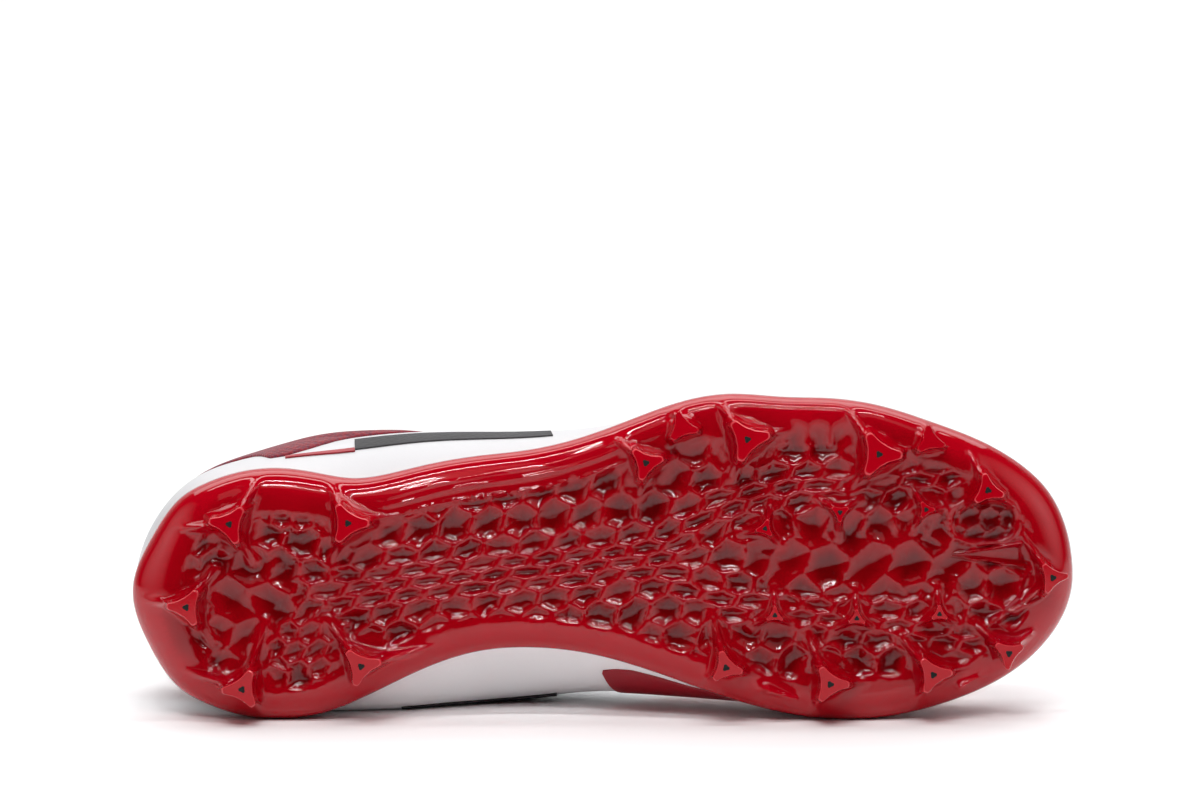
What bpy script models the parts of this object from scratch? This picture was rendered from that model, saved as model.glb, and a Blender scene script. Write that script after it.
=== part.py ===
"""Football cleat, right shoe, lying on its medial side.

Shapes are worked out in a shoe frame in millimetres:
  x from heel to toe, y positive to the medial side, z up from the stud tips.
At the end every piece is laid on its side: shoe z goes away from the viewer
(+Y), the lateral side goes up (+Z), and the floor is z = 0.
"""
import math

import bmesh
import bpy
import numpy as np

for _ob in list(bpy.data.objects):
    bpy.data.objects.remove(_ob, do_unlink=True)

# ---------------------------------------------------------------- main sizes
LEAN_DEG = 5.0          # lean of the shoe as it lies on its medial side
WALL = 2.0              # upper wall
COLLAR_WALL = 3.0       # padded part of the wall at heel and ankle
PLATE_THICK = 3.0       # sole plate over the cup floor
RIM_LIP = 2.0           # thickness of the cup rim at its top
RIM_INSET = 2.5         # inner face of the rim, from the plate outline
GAP = 0.4               # clearance between pieces
STUD_HEIGHT = 11.0      # stud tip below the plate
INSOLE_THICK = 2.6
TONGUE_THICK = 4.0
LACE_WIDTH = 5.5
LACE_THICK = 1.6
LACE_SIDES = 6
STATIONS = 42           # stations from heel to toe
FLOOR_PRESS = 0.6       # how much the skin flattens where it lies on the floor

# plate outline: distance x, lateral and medial edge from the reference line
PLATE_COLS = ("x", "lateral", "medial")
PLATE = [
    (1.5, -5.8, 5.8), (7.0, 13.6, 26.6), (15.0, 24.2, 36.7), (23.1, 29.0, 41.2),
    (35.2, 32.9, 45.1), (47.1, 33.9, 46.0), (59.0, 32.4, 44.7), (71.0, 30.7, 40.5),
    (83.0, 32.4, 34.8), (94.9, 35.2, 29.4), (110.8, 37.8, 24.7), (126.7, 39.7, 23.6),
    (142.7, 43.5, 25.0), (158.7, 49.3, 28.7), (174.6, 55.0, 34.0), (190.5, 57.6, 39.6),
    (206.4, 56.7, 43.8), (222.3, 56.2, 46.1), (238.3, 53.8, 45.7), (254.4, 48.8, 42.6),
    (270.6, 42.6, 37.1), (283.0, 35.6, 30.5), (293.4, 26.0, 21.2), (301.5, -0.9, 0.9),
]
# widest line of the upper, above the plate
UPPER_COLS = ("x", "lateral", "medial", "z_lateral", "z_medial")
UPPER = [
    (-1.5, -5.5, 5.5, 42, 42), (6.0, 18.5, 27.0, 43, 40), (15.0, 28.4, 37.0, 45, 37),
    (25.0, 33.6, 41.6, 47, 35), (40.0, 37.6, 43.8, 51, 33), (55.0, 40.6, 44.4, 54, 32),
    (70.0, 43.0, 44.5, 55, 33), (85.0, 44.5, 44.2, 54, 36), (100.0, 45.0, 43.6, 52, 43),
    (115.0, 45.0, 43.0, 50, 50), (130.0, 45.2, 41.7, 48, 52), (148.0, 46.6, 39.8, 45, 49),
    (165.0, 50.0, 39.8, 41, 43), (182.0, 53.2, 40.6, 37, 38), (200.0, 54.4, 41.8, 35, 35),
    (225.0, 53.0, 42.8, 34, 34), (245.0, 48.9, 41.4, 35, 35), (262.0, 43.2, 37.6, 37, 37),
    (277.0, 36.0, 30.8, 39, 39), (288.5, 26.6, 21.8, 40, 40), (298.0, -0.6, 0.6, 41, 41),
]
# plate bottom above the stud tips, rim height over it, rim rounding
SOLE_COLS = ("x", "z_bottom", "rim_height", "round_lateral", "round_medial")
SOLE = [
    (1.5, 15.5, 15.0, 15.0, 15.0), (12, 12.6, 15.0, 14.0, 14.0), (28, 11.1, 14.0, 10.0, 10.0),
    (55, 11.0, 12.5, 8.5, 9.0), (80, 11.6, 11.0, 8.0, 9.0), (102, 14.0, 10.5, 8.0, 9.0),
    (125, 16.0, 10.0, 8.0, 9.0), (150, 14.2, 10.0, 8.0, 9.0), (175, 11.7, 10.5, 7.5, 8.5),
    (195, 11.0, 11.0, 7.5, 8.5), (230, 11.4, 11.0, 7.5, 8.5), (255, 13.4, 12.0, 9.0, 9.5),
    (276, 17.0, 13.0, 11.5, 11.5), (290, 20.8, 14.0, 12.5, 12.5), (301.5, 23.8, 14.5, 13.0, 13.0),
]
# ridge line of the last (closed over the open throat) and where it is cut
LAST_COLS = ("x", "ridge_x", "ridge_y", "ridge_z", "cut_lateral", "cut_medial", "fullness")
LAST = [
    (-1.5, 36, 4.0, 128, 27.5, 27.5, 2.0), (15, 46, 3.6, 126, 23.5, 26.5, 2.0),
    (40, 60, 2.8, 122, 13.5, 22.5, 2.0), (65, 78, 1.0, 117, 8.5, 21.5, 2.0),
    (85, 93, -0.4, 112, 17.0, 25.0, 2.0), (97, 103, -1.0, 108, 38.0, 41.0, 2.0),
    (107, 111, -1.6, 104, 56.0, 56.5, 2.0), (122, 124, -2.2, 97, 65.0, 64.0, 2.0),
    (150, 149, -3.0, 84, 70.0, 68.5, 2.05), (180, 174, -3.4, 72.5, 74.5, 73.0, 2.15),
    (197, 188, -3.4, 67.5, 79.0, 78.0, 2.2), (208, 197, -3.3, 65, 90.0, 90.0, 2.2),
    (230, 216, -3.0, 61.5, 90.0, 90.0, 2.25), (258, 239, -1.8, 58.5, 90.0, 90.0, 2.3),
    (281, 252, -0.8, 57, 90.0, 90.0, 2.3), (298.0, 257.5, 0.0, 56.5, 90.0, 90.0, 2.3),
]
# studs: centre x, y, direction of one corner in degrees, corner radius,
# height share of the full stud, reach of the flared base
STUD_COLS = ("name", "x", "y", "corner_deg", "radius", "height", "reach")
STUDS = [
    ("heel_1", 32.9, -16.7, 189, 5.9, 1.0, 2.0), ("heel_2", 70.1, -17.0, 0, 5.9, 1.0, 2.0),
    ("heel_3", 19.3, 9.4, 183, 5.7, 1.0, 1.9), ("heel_4", 36.9, 35.1, 176, 5.9, 1.0, 1.7),
    ("heel_5", 74.2, 27.9, -13, 6.2, 1.0, 1.7), ("fore_1", 163.5, -35.9, -14, 5.0, 1.0, 1.9),
    ("fore_2", 195.3, -43.3, -11, 5.9, 1.0, 1.8), ("fore_3", 236.6, -38.6, 2, 5.9, 1.0, 1.9),
    ("fore_5", 271.2, -27.2, 18, 5.2, 1.0, 1.8), ("toe_6", 292.4, 0.7, -6, 5.2, 0.9, 1.5),
    ("fore_7", 278.0, 24.3, -25, 5.2, 1.0, 1.6), ("fore_8", 253.8, 30.7, -6, 5.7, 1.0, 1.7),
    ("fore_9", 221.3, 33.5, 1, 5.9, 1.0, 1.7), ("fore_10", 188.6, 28.3, 14, 5.4, 1.0, 1.8),
    ("inner_1", 201.0, -15.2, -72, 3.2, 0.62, 2.6), ("inner_2", 224.6, -20.3, 92, 3.2, 0.62, 2.6),
    ("inner_3", 251.8, -21.1, 0, 3.0, 0.62, 2.6), ("inner_4", 204.1, 12.1, -90, 3.0, 0.62, 2.6),
    ("inner_5", 229.9, 13.1, -90, 3.0, 0.62, 2.6), ("inner_6", 256.1, 11.9, -90, 3.0, 0.62, 2.6),
    ("fin_1", 176.8, -46.4, -30, 3.4, 0.6, 2.2), ("fin_2", 253.7, -42.0, 20, 3.4, 0.6, 2.0),
    ("fin_3", 202.1, 35.3, 160, 3.0, 0.35, 2.0), ("fin_4", 263.6, 34.6, 160, 3.0, 0.35, 2.0),
]
LACE_ROWS = (190.0, 175.0, 160.0, 145.0, 130.0, 115.0)   # station of each eyelet pair
EYELET_BACK_DEG = 9.0                                     # eyelet behind the throat edge


# ---------------------------------------------------------------- small maths
def spline(xs, ys, at):
    """Natural cubic through a short table."""
    xs = np.asarray(xs, float)
    ys = np.asarray(ys, float)
    n = len(xs)
    h = np.diff(xs)
    a = np.zeros((n, n))
    b = np.zeros(n)
    a[0, 0] = a[-1, -1] = 1.0
    for i in range(1, n - 1):
        a[i, i - 1], a[i, i], a[i, i + 1] = h[i - 1], 2 * (h[i - 1] + h[i]), h[i]
        b[i] = 6 * ((ys[i + 1] - ys[i]) / h[i] - (ys[i] - ys[i - 1]) / h[i - 1])
    m = np.linalg.solve(a, b)
    at = np.clip(np.asarray(at, float), xs[0], xs[-1])
    i = np.clip(np.searchsorted(xs, at) - 1, 0, n - 2)
    t0, t1 = xs[i + 1] - at, at - xs[i]
    return (m[i] * t0 ** 3 + m[i + 1] * t1 ** 3) / (6 * h[i]) \
        + (ys[i] / h[i] - m[i] * h[i] / 6) * t0 + (ys[i + 1] / h[i] - m[i + 1] * h[i] / 6) * t1


def column(table, names, name):
    return [row[names.index(name)] for row in table]


def share(x, x0, x1):
    """Heel to toe share whose spacing is fine at both round ends."""
    return np.arccos(np.clip(1 - 2 * (np.asarray(x, float) - x0) / (x1 - x0), -1, 1)) / math.pi


def unshare(s, x0, x1):
    return x0 + (x1 - x0) * (1 - np.cos(np.pi * np.asarray(s, float))) / 2


def edge_line(table, names, side, s):
    """Plan points of one side of an outline at the shares s."""
    xs = column(table, names, "x")
    key = "lateral" if side < 0 else "medial"
    ss = share(xs, xs[0], xs[-1])
    return np.stack([unshare(s, xs[0], xs[-1]),
                     side * spline(ss, column(table, names, key), s)], -1)


def plan_inward(table, names, side, s):
    e = 1e-4
    a = edge_line(table, names, side, np.clip(np.asarray(s) - e, 0, 1))
    b = edge_line(table, names, side, np.clip(np.asarray(s) + e, 0, 1))
    t = b - a
    # both tips are smooth, so the run there is straight across
    t[np.asarray(s) < 1e-9] = (0.0, side)
    t[np.asarray(s) > 1 - 1e-9] = (0.0, -side)
    t /= np.linalg.norm(t, axis=-1, keepdims=True)
    return np.stack([-t[..., 1] * -side, t[..., 0] * -side], -1)


def by_x(table, names, name, x):
    return spline(column(table, names, "x"), column(table, names, name), x)


def sole_round(side, x):
    return by_x(SOLE, SOLE_COLS, "round_lateral" if side < 0 else "round_medial", x)


def rim_rise(inset, width, height):
    k = np.clip(1 - inset / width, 0, 1)
    return height * (1 - np.sqrt(np.clip(1 - k * k, 0, 1)))


def plate_bottom(side, pts, inset, station_x):
    """Height of the plate's lower face at plan points with a given inset."""
    rim = by_x(SOLE, SOLE_COLS, "rim_height", station_x)
    return by_x(SOLE, SOLE_COLS, "z_bottom", pts[..., 0]) \
        + rim_rise(inset, sole_round(side, station_x), 0.72 * rim)


def rim_top(station_x):
    return by_x(SOLE, SOLE_COLS, "z_bottom", station_x) + by_x(SOLE, SOLE_COLS, "rim_height", station_x)


SHARES = np.linspace(0, 1, STATIONS + 1)
OUT = {side: edge_line(PLATE, PLATE_COLS, side, SHARES) for side in (-1, 1)}
INW = {side: plan_inward(PLATE, PLATE_COLS, side, SHARES) for side in (-1, 1)}
OUT_DENSE = np.concatenate([edge_line(PLATE, PLATE_COLS, -1, np.linspace(0, 1, 400)),
                            edge_line(PLATE, PLATE_COLS, 1, np.linspace(1, 0, 400))])


def centre_line(share_at):
    """Plan centre line that the sole's rings close on."""
    heel, toe = PLATE[0][0], PLATE[-1][0]
    x = unshare(share_at, heel, toe)
    cx = 22 + (x - heel) * (283 - 22) / (toe - heel)
    lat = edge_line(PLATE, PLATE_COLS, -1, share_at)[..., 1]
    med = edge_line(PLATE, PLATE_COLS, 1, share_at)[..., 1]
    return np.stack([cx, 0.5 * (lat + med)], -1)


# ---------------------------------------------------------------- laying down
LEAN = math.radians(LEAN_DEG)


def lie_down(p):
    """Shoe millimetres to lying millimetres, before the shift onto the floor."""
    p = np.asarray(p, float)
    far, up = p[..., 2], -p[..., 1]
    return np.stack([p[..., 0], far * math.cos(LEAN) + up * math.sin(LEAN),
                     -far * math.sin(LEAN) + up * math.cos(LEAN)], -1)


# ---------------------------------------------------------------- last surface
def last_point(side, s, deg):
    """Point of the closed last above its widest line; deg 0 there, 90 on the ridge."""
    s = np.asarray(s, float)
    wide = edge_line(UPPER, UPPER_COLS, side, s)
    x = wide[..., 0]
    key = "lateral" if side < 0 else "medial"
    z_w = by_x(UPPER, UPPER_COLS, "z_" + key, x)
    ridge = np.stack([by_x(LAST, LAST_COLS, "ridge_x", x), by_x(LAST, LAST_COLS, "ridge_y", x)], -1)
    z_r = by_x(LAST, LAST_COLS, "ridge_z", x)
    power = 2 / by_x(LAST, LAST_COLS, "fullness", x)
    a = np.radians(np.asarray(deg, float))
    over = 1 - np.clip(np.cos(a), 0, 1) ** power
    rise = np.clip(np.sin(a), 0, 1) ** power
    plan = wide + (ridge - wide) * over[..., None]
    return np.concatenate([plan, (z_w + (z_r - z_w) * rise)[..., None]], -1)


def last_normal(side, s, deg):
    ds, da = 2e-3, 1.0
    s = np.asarray(s, float)
    deg = np.clip(np.asarray(deg, float), 1.0, 88.5)
    u = last_point(side, np.clip(s + ds, 0, 1), deg) - last_point(side, np.clip(s - ds, 0, 1), deg)
    v = last_point(side, s, deg + da) - last_point(side, s, deg - da)
    n = np.cross(u, v) * side
    n /= np.linalg.norm(n, axis=-1, keepdims=True)
    flip = np.sign(n[..., 2:3] * 0.5 + n[..., 1:2] * side)
    return n * np.where(flip == 0, 1, flip)


def cut_deg(side, s):
    x = edge_line(UPPER, UPPER_COLS, side, s)[..., 0]
    return np.clip(by_x(LAST, LAST_COLS, "cut_lateral" if side < 0 else "cut_medial", x), 4, 90)


def closed_from():
    """Share at which the throat has closed."""
    xs = column(UPPER, UPPER_COLS, "x")
    return float(share(206.5, xs[0], xs[-1]))


# ---------------------------------------------------------------- mesh helpers
PARTS = bpy.data.collections.new("football_cleat")
CUTTERS = bpy.data.collections.new("football_cleat_cutters")
bpy.context.scene.collection.children.link(PARTS)
bpy.context.scene.collection.children.link(CUTTERS)


def material(name, colour, rough, coat=0.0):
    mat = bpy.data.materials.new(name)
    mat.use_nodes = True
    bsdf = mat.node_tree.nodes["Principled BSDF"]
    bsdf.inputs["Base Color"].default_value = (*colour, 1.0)
    bsdf.inputs["Roughness"].default_value = rough
    bsdf.inputs["Coat Weight"].default_value = coat
    return mat


def make_object(name, verts, faces, mat, collection):
    me = bpy.data.meshes.new(name)
    me.from_pydata([tuple(v) for v in verts], [], faces)
    me.validate()
    bm = bmesh.new()
    bm.from_mesh(me)
    bmesh.ops.remove_doubles(bm, verts=bm.verts, dist=2e-5)
    bmesh.ops.dissolve_degenerate(bm, edges=bm.edges, dist=1e-6)
    bmesh.ops.recalc_face_normals(bm, faces=bm.faces)
    bm.to_mesh(me)
    bm.free()
    me.polygons.foreach_set("use_smooth", [True] * len(me.polygons))
    me.materials.append(mat)
    ob = bpy.data.objects.new(name, me)
    collection.objects.link(ob)
    return ob


def ring_faces(rings, width, closed=True):
    """Quads between successive rings of points with equal counts."""
    faces = []
    last = width if closed else width - 1
    for r in range(rings - 1):
        for i in range(last):
            j = (i + 1) % width
            a, b = r * width + i, r * width + j
            faces.append((a, b, b + width, a + width))
    return faces


def around(values_by_side):
    """One closed ring from heel tip along the lateral side to the toe and back."""
    lat, med = values_by_side[-1], values_by_side[1]
    return np.concatenate([lat, med[-2:0:-1]])


# ---------------------------------------------------------------- floor shift
def plate_ring(inset, z_from):
    ring = {}
    for side in (-1, 1):
        x = OUT[side][:, 0]
        d = inset(side, x)
        plan = OUT[side] + INW[side] * d[:, None]
        ring[side] = np.concatenate([plan, z_from(side, plan, d, x)[:, None]], -1)
    return ring


RIM_SIDE = plate_ring(lambda side, x: x * 0.0, lambda side, p, d, x: plate_bottom(side, p, d, x))
LOW = min(lie_down(RIM_SIDE[1])[:, 2].min(), 0.0)
SHIFT = np.array([-150.0, -52.51, -LOW - FLOOR_PRESS])


def world(p, flatten=False):
    """Lying position in metres on the floor; flatten presses the skin on it."""
    q = lie_down(p) + SHIFT
    if flatten:
        q[..., 2] = np.maximum(q[..., 2], 0.0)
    return q / 1000.0


# ---------------------------------------------------------------- outsole
def build_outsole():
    def const(v):
        return lambda side, x: x * 0 + v

    def of_round(f):
        return lambda side, x: sole_round(side, x) * f

    def z_top(side, p, d, x):
        return rim_top(x)

    def z_low(side, p, d, x):
        return plate_bottom(side, p, d, x)

    def z_floor(side, p, d, x):
        return plate_bottom(side, p, d, x) + PLATE_THICK

    rings = [around(plate_ring(const(RIM_INSET), z_top)), around(plate_ring(const(RIM_INSET - RIM_LIP), z_top)),
             around(plate_ring(const(0.0), z_low)),
             around(plate_ring(of_round(0.10), z_low)), around(plate_ring(of_round(0.36), z_low)),
             around(plate_ring(of_round(1.0), z_low))]
    mid = centre_line(SHARES)

    def inner_rings(start, fractions, lift):
        out = []
        for f in fractions:
            ring = {}
            for side in (-1, 1):
                plan = start[side][:, :2] * (1 - f) + mid * f
                z = by_x(SOLE, SOLE_COLS, "z_bottom", plan[:, 0]) + lift
                ring[side] = np.concatenate([plan, z[:, None]], -1)
            out.append(around(ring))
        return out

    low_edge = plate_ring(of_round(1.0), z_low)
    rings += inner_rings(low_edge, (0.5, 1.0), 0.0)
    under = len(rings)
    top = [around(plate_ring(const(RIM_INSET), z_floor)), around(plate_ring(of_round(0.62), z_floor)),
           around(plate_ring(of_round(1.0), z_floor))]
    top += inner_rings(low_edge, (0.5, 1.0), PLATE_THICK)
    width = len(rings[0])
    verts = np.concatenate(rings + top)
    faces = ring_faces(under, width)
    faces += [tuple(i + under * width for i in f) for f in ring_faces(len(top), width)]
    # inner face of the rim: rim top to cup floor
    for i in range(width):
        j = (i + 1) % width
        faces.append((i, j, under * width + j, under * width + i))
    ob = make_object("outsole", world(verts, True), faces,
                     material("red_plate", (0.42, 0.0, 0.008), 0.16, 1.0), PARTS)
    for row in STUDS:
        stud = build_stud(dict(zip(STUD_COLS, row)))
        union = ob.modifiers.new("join_" + row[0], "BOOLEAN")
        union.operation = "UNION"
        union.solver = "EXACT"
        union.object = stud
    return ob


def inset_at(p):
    """Inset of plan points from the plate outline, and the station and side there."""
    i = np.linalg.norm(OUT_DENSE[None] - p[:, None], axis=-1).argmin(1)
    run = OUT_DENSE[(i + 3) % 800] - OUT_DENSE[(i - 3) % 800]
    run /= np.linalg.norm(run, axis=-1, keepdims=True)
    off = p - OUT_DENSE[i]
    return off[:, 1] * run[:, 0] - off[:, 0] * run[:, 1], OUT_DENSE[i, 0], np.where(i < 400, -1, 1)


STUD_EDGE = 2.2         # no stud leg comes nearer to the outline
STUD_LEVELS = ((0.0, 1.0, 1.0), (0.3, 1.12, 1.1), (0.75, 1.55, 1.35), (1.25, 0.0, 1.75))


def build_stud(stud):
    """Three-cornered stud: flat tip, hollowed flanks, legs flaring to the plate."""
    corner = math.radians(stud["corner_deg"])
    height = STUD_HEIGHT * stud["height"]
    x0, y0 = stud["x"], stud["y"]
    base = float(by_x(SOLE, SOLE_COLS, "z_bottom", x0))
    slope = float(by_x(SOLE, SOLE_COLS, "z_bottom", x0 + 2) - by_x(SOLE, SOLE_COLS, "z_bottom", x0 - 2)) / 4
    tip = max(base - height, 0.0)
    verts = []
    for drop, leg, flank in STUD_LEVELS:
        leg = leg or stud["reach"]
        ang = corner + np.radians(np.arange(12) * 30.0)
        shape = np.array([1.0 * leg, 0.53 * 0.5 * (leg + flank), 0.42 * flank,
                          0.53 * 0.5 * (leg + flank)] * 3)
        for _ in range(12):
            plan = np.stack([x0 + np.cos(ang) * stud["radius"] * shape,
                             y0 + np.sin(ang) * stud["radius"] * shape], -1)
            shape = np.where(inset_at(plan)[0] < STUD_EDGE, shape * 0.94, shape)
        z_tip = tip + slope * (plan[:, 0] - x0)
        d, xe, side = inset_at(plan)
        low = np.array([plate_bottom(sd, p, dd, xx) for sd, p, dd, xx in zip(side, plan, d, xe)])
        z = z_tip + (low - z_tip) * min(drop, 1.0) + (1.2 if drop > 1 else 0.0)
        verts.append(np.concatenate([plan, z[:, None]], -1))
    faces = ring_faces(len(verts), 12)
    faces += [tuple(range(11, -1, -1)), tuple(range(12 * (len(verts) - 1), 12 * len(verts)))]
    ob = make_object("cut_" + stud["name"], world(np.concatenate(verts)), faces, CUT_MAT, CUTTERS)
    ob.hide_render = True
    ob.display_type = "WIRE"
    return ob


CUT_MAT = material("stud_red", (0.42, 0.0, 0.008), 0.16, 1.0)


# ---------------------------------------------------------------- upper
def upper_rows(side):
    """Rows of points from the sole's cup floor over the widest line to the edge."""
    x = OUT[side][:, 0]
    inset = RIM_INSET + GAP
    foot = OUT[side] + INW[side] * inset
    z_floor = plate_bottom(side, foot, inset, x) + PLATE_THICK + GAP
    z_lip = rim_top(x) + 0.7
    wide = last_point(side, SHARES, SHARES * 0)
    z_mid = np.minimum(z_lip, wide[:, 2] - 4)
    rows = [np.concatenate([foot, z_floor[:, None]], -1), np.concatenate([foot, z_mid[:, None]], -1)]
    for t in (0.25, 0.5, 0.75):
        a = 3 * t * (1 - t) ** 2 * 0.42 + 3 * t * t * (1 - t) + t ** 3
        up = 3 * t * (1 - t) ** 2 * 0.28 + 3 * t * t * (1 - t) * 0.55 + t ** 3
        plan = foot + (wide[:, :2] - foot) * a
        rows.append(np.concatenate([plan, (z_mid + (wide[:, 2] - z_mid) * up)[:, None]], -1))
    cut = np.where(SHARES >= closed_from(), 90.0, cut_deg(side, SHARES))
    for t in np.linspace(0, 1, 7):
        rows.append(last_point(side, SHARES, cut * t))
    return rows


def build_upper():
    lat, med = upper_rows(-1), upper_rows(1)
    rings = [around({-1: a, 1: b}) for a, b in zip(lat, med)]
    width = len(rings[0])
    verts = np.concatenate(rings)
    ob = make_object("upper", world(verts, True), ring_faces(len(rings), width),
                     material("white_upper", (0.82, 0.81, 0.83), 0.42), PARTS)
    # the padded heel and ankle have the thicker wall
    group = ob.vertex_groups.new(name="padding")
    heel = world(np.array([[95.0, 0, 0]]))[0][0]
    for v in ob.data.vertices:
        reach = min(max((heel - v.co.x) / 0.03, 0.0), 1.0)
        high = min(max((v.co.y - world(np.array([[0, 0, 45.0]]))[0][1]) / 0.02, 0.0), 1.0)
        group.add([v.index], WALL / COLLAR_WALL + (1 - WALL / COLLAR_WALL) * reach * high, "REPLACE")
    solid = ob.modifiers.new("wall", "SOLIDIFY")
    solid.thickness = COLLAR_WALL / 1000
    solid.offset = -1.0
    solid.use_even_offset = True
    solid.use_rim = True
    solid.vertex_group = "padding"
    return ob


# ---------------------------------------------------------------- insole
def build_insole():
    inset = RIM_INSET + GAP + COLLAR_WALL + GAP
    mid = centre_line(SHARES)
    foot = {side: OUT[side] + INW[side] * inset for side in (-1, 1)}

    def layer(lift):
        rings = []
        for f in (-1.0, 0.0, 0.5, 1.0):
            ring = {}
            for side in (-1, 1):
                x = OUT[side][:, 0]
                if f < 0:
                    # the cup floor is straight between its rings
                    plan, d = foot[side], x * 0 + inset
                    near, far = x * 0 + RIM_INSET, np.maximum(0.62 * sole_round(side, x), inset + 0.1)
                    z_near, z_far = (plate_bottom(side, plan, k, x) for k in (near, far))
                    z = z_near + (z_far - z_near) * (d - near) / (far - near) + PLATE_THICK + GAP + lift
                    ring[side] = np.concatenate([plan, z[:, None]], -1)
                    continue
                else:
                    flat = OUT[side] + INW[side] * sole_round(side, x)[:, None]
                    plan, d = flat * (1 - f) + mid * f, sole_round(side, x)
                z = plate_bottom(side, plan, d, x) + PLATE_THICK + GAP + lift
                ring[side] = np.concatenate([plan, z[:, None]], -1)
            rings.append(around(ring))
        return rings

    low, top = layer(0.0), layer(INSOLE_THICK)
    width = len(low[0])
    verts = np.concatenate(low + top)
    k = len(low) * width
    faces = ring_faces(len(low), width) + [tuple(i + k for i in f) for f in ring_faces(len(top), width)]
    for i in range(width):
        j = (i + 1) % width
        faces.append((i, j, k + j, k + i))
    return make_object("insole", world(verts), faces, material("grey_insole", (0.05, 0.05, 0.055), 0.8), PARTS)


# ---------------------------------------------------------------- tongue
TONGUE_FROM_X, TONGUE_TO_X = 84.0, 203.0
TONGUE_HALF = ((84.0, 29.0), (110.0, 30.0), (150.0, 25.0), (203.0, 17.0))   # x, half width


def build_tongue():
    xs = column(UPPER, UPPER_COLS, "x")
    s = share(np.linspace(TONGUE_FROM_X, TONGUE_TO_X, 17), xs[0], xs[-1])
    x = unshare(s, xs[0], xs[-1])
    half = np.interp(x, [r[0] for r in TONGUE_HALF], [r[1] for r in TONGUE_HALF])
    layers = []
    for depth in (COLLAR_WALL + GAP + 0.3, COLLAR_WALL + GAP + 0.3 + TONGUE_THICK):
        columns = []
        for side, steps in ((-1, np.linspace(0, 1, 5)[:-1]), (1, np.linspace(1, 0, 5))):
            wide = last_point(side, s, s * 0)
            ridge = last_point(side, s, s * 0 + 90)
            reach = np.linalg.norm(ridge[:, :2] - wide[:, :2], axis=-1)
            start = np.degrees(np.arccos(np.clip(half / reach, 0, 1)))
            for t in steps:
                deg = start + (90 - start) * t
                p = last_point(side, s, deg)
                n = last_normal(side, s, deg)
                if t > 0.999:
                    n = last_normal(-1, s, deg) + last_normal(1, s, deg)
                    n /= np.linalg.norm(n, axis=-1, keepdims=True)
                columns.append(p - n * depth)
        layers.append(np.stack(columns, 1))
    across = layers[0].shape[1]
    rows = len(s)
    verts = np.concatenate([layer.reshape(-1, 3) for layer in layers])
    k = rows * across
    faces = []
    for r in range(rows - 1):
        for c in range(across - 1):
            a = r * across + c
            faces.append((a, a + 1, a + 1 + across, a + across))
            faces.append(tuple(k + i for i in (a, a + across, a + 1 + across, a + 1)))
    rim = [c for c in range(across)] + [r * across + across - 1 for r in range(1, rows)] \
        + [(rows - 1) * across + c for c in range(across - 2, -1, -1)] + [r * across for r in range(rows - 2, 0, -1)]
    for a, b in zip(rim, rim[1:] + rim[:1]):
        faces.append((a, b, k + b, k + a))
    return make_object("tongue", world(verts), faces, material("red_tongue", (0.35, 0.01, 0.02), 0.85), PARTS)


# ---------------------------------------------------------------- lace
def surface_path(station_a, side_a, station_b, side_b, steps, past):
    """Points and normals on the last from one eyelet over the ridge to another."""
    xs = column(UPPER, UPPER_COLS, "x")
    pts, nrm = [], []
    for i in range(steps + 1):
        t = i / steps
        s = share(np.array([station_a + (station_b - station_a) * t]), xs[0], xs[-1])
        side = side_a if t < 0.5 else side_b
        near = cut_deg(side, s) - EYELET_BACK_DEG - past
        deg = near + (90 - near) * (1 - abs(2 * t - 1))
        pts.append(last_point(side, s, deg)[0])
        n = last_normal(side, s, deg)[0]
        if deg > 85:
            n = last_normal(-1, s, deg)[0] + last_normal(1, s, deg)[0]
        nrm.append(n / np.linalg.norm(n))
    return np.array(pts), np.array(nrm)


def build_bar(name, station_a, station_b, past, lift, steps=4):
    """One flat lace bar; past runs it over the eyelet, lift over the bar it crosses."""
    pts, nrm = surface_path(station_a, -1, station_b, 1, steps, past)
    pts = pts + nrm * (GAP + 0.2 + lift + LACE_THICK / 2)
    run = np.gradient(pts, axis=0)
    run /= np.linalg.norm(run, axis=-1, keepdims=True)
    across = np.cross(run, nrm)
    across /= np.linalg.norm(across, axis=-1, keepdims=True)
    section = [(math.cos(a), math.sin(a)) for a in np.radians(np.arange(LACE_SIDES) * 360 / LACE_SIDES + 30)]
    verts = np.concatenate([p + a * (LACE_WIDTH / 2) * np.array([[c] for c, _ in section])
                            + n * (LACE_THICK / 2) * np.array([[w] for _, w in section])
                            for p, a, n in zip(pts, across, nrm)])
    k = LACE_SIDES
    faces = ring_faces(steps + 1, k)
    faces += [tuple(range(k - 1, -1, -1)), tuple(range(k * steps, k * steps + k))]
    return name, verts, faces


def build_lace():
    mat = material("white_lace", (0.8, 0.8, 0.8), 0.85)
    bars = [build_bar("lace", LACE_ROWS[0], LACE_ROWS[0], 1.0, 0.0)]
    for i, (a, b) in enumerate(zip(LACE_ROWS[:-1], LACE_ROWS[1:])):
        bars.append(build_bar("cut_lace_a", a, b, 3.1 - 0.9 * (i % 2), 0.25 + 0.3 * (i % 2)))
        bars.append(build_bar("cut_lace_b", b, a, 2.6 - 0.9 * (i % 2), 0.85 + 0.3 * (i % 2)))
    ob = None
    strips = bpy.data.collections.new("football_cleat_lace_bars")
    bpy.context.scene.collection.children.link(strips)
    for i, (name, verts, faces) in enumerate(bars):
        if i == 0:
            ob = make_object(name, world(verts), faces, mat, PARTS)
            continue
        strip = make_object("%s_%d" % (name, i), world(verts), faces, mat, strips)
        strip.hide_render = True
        strip.display_type = "WIRE"
        join = ob.modifiers.new("crossing_%d" % i, "BOOLEAN")
        join.operation = "UNION"
        join.solver = "EXACT"
        join.object = strip
    return ob


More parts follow.
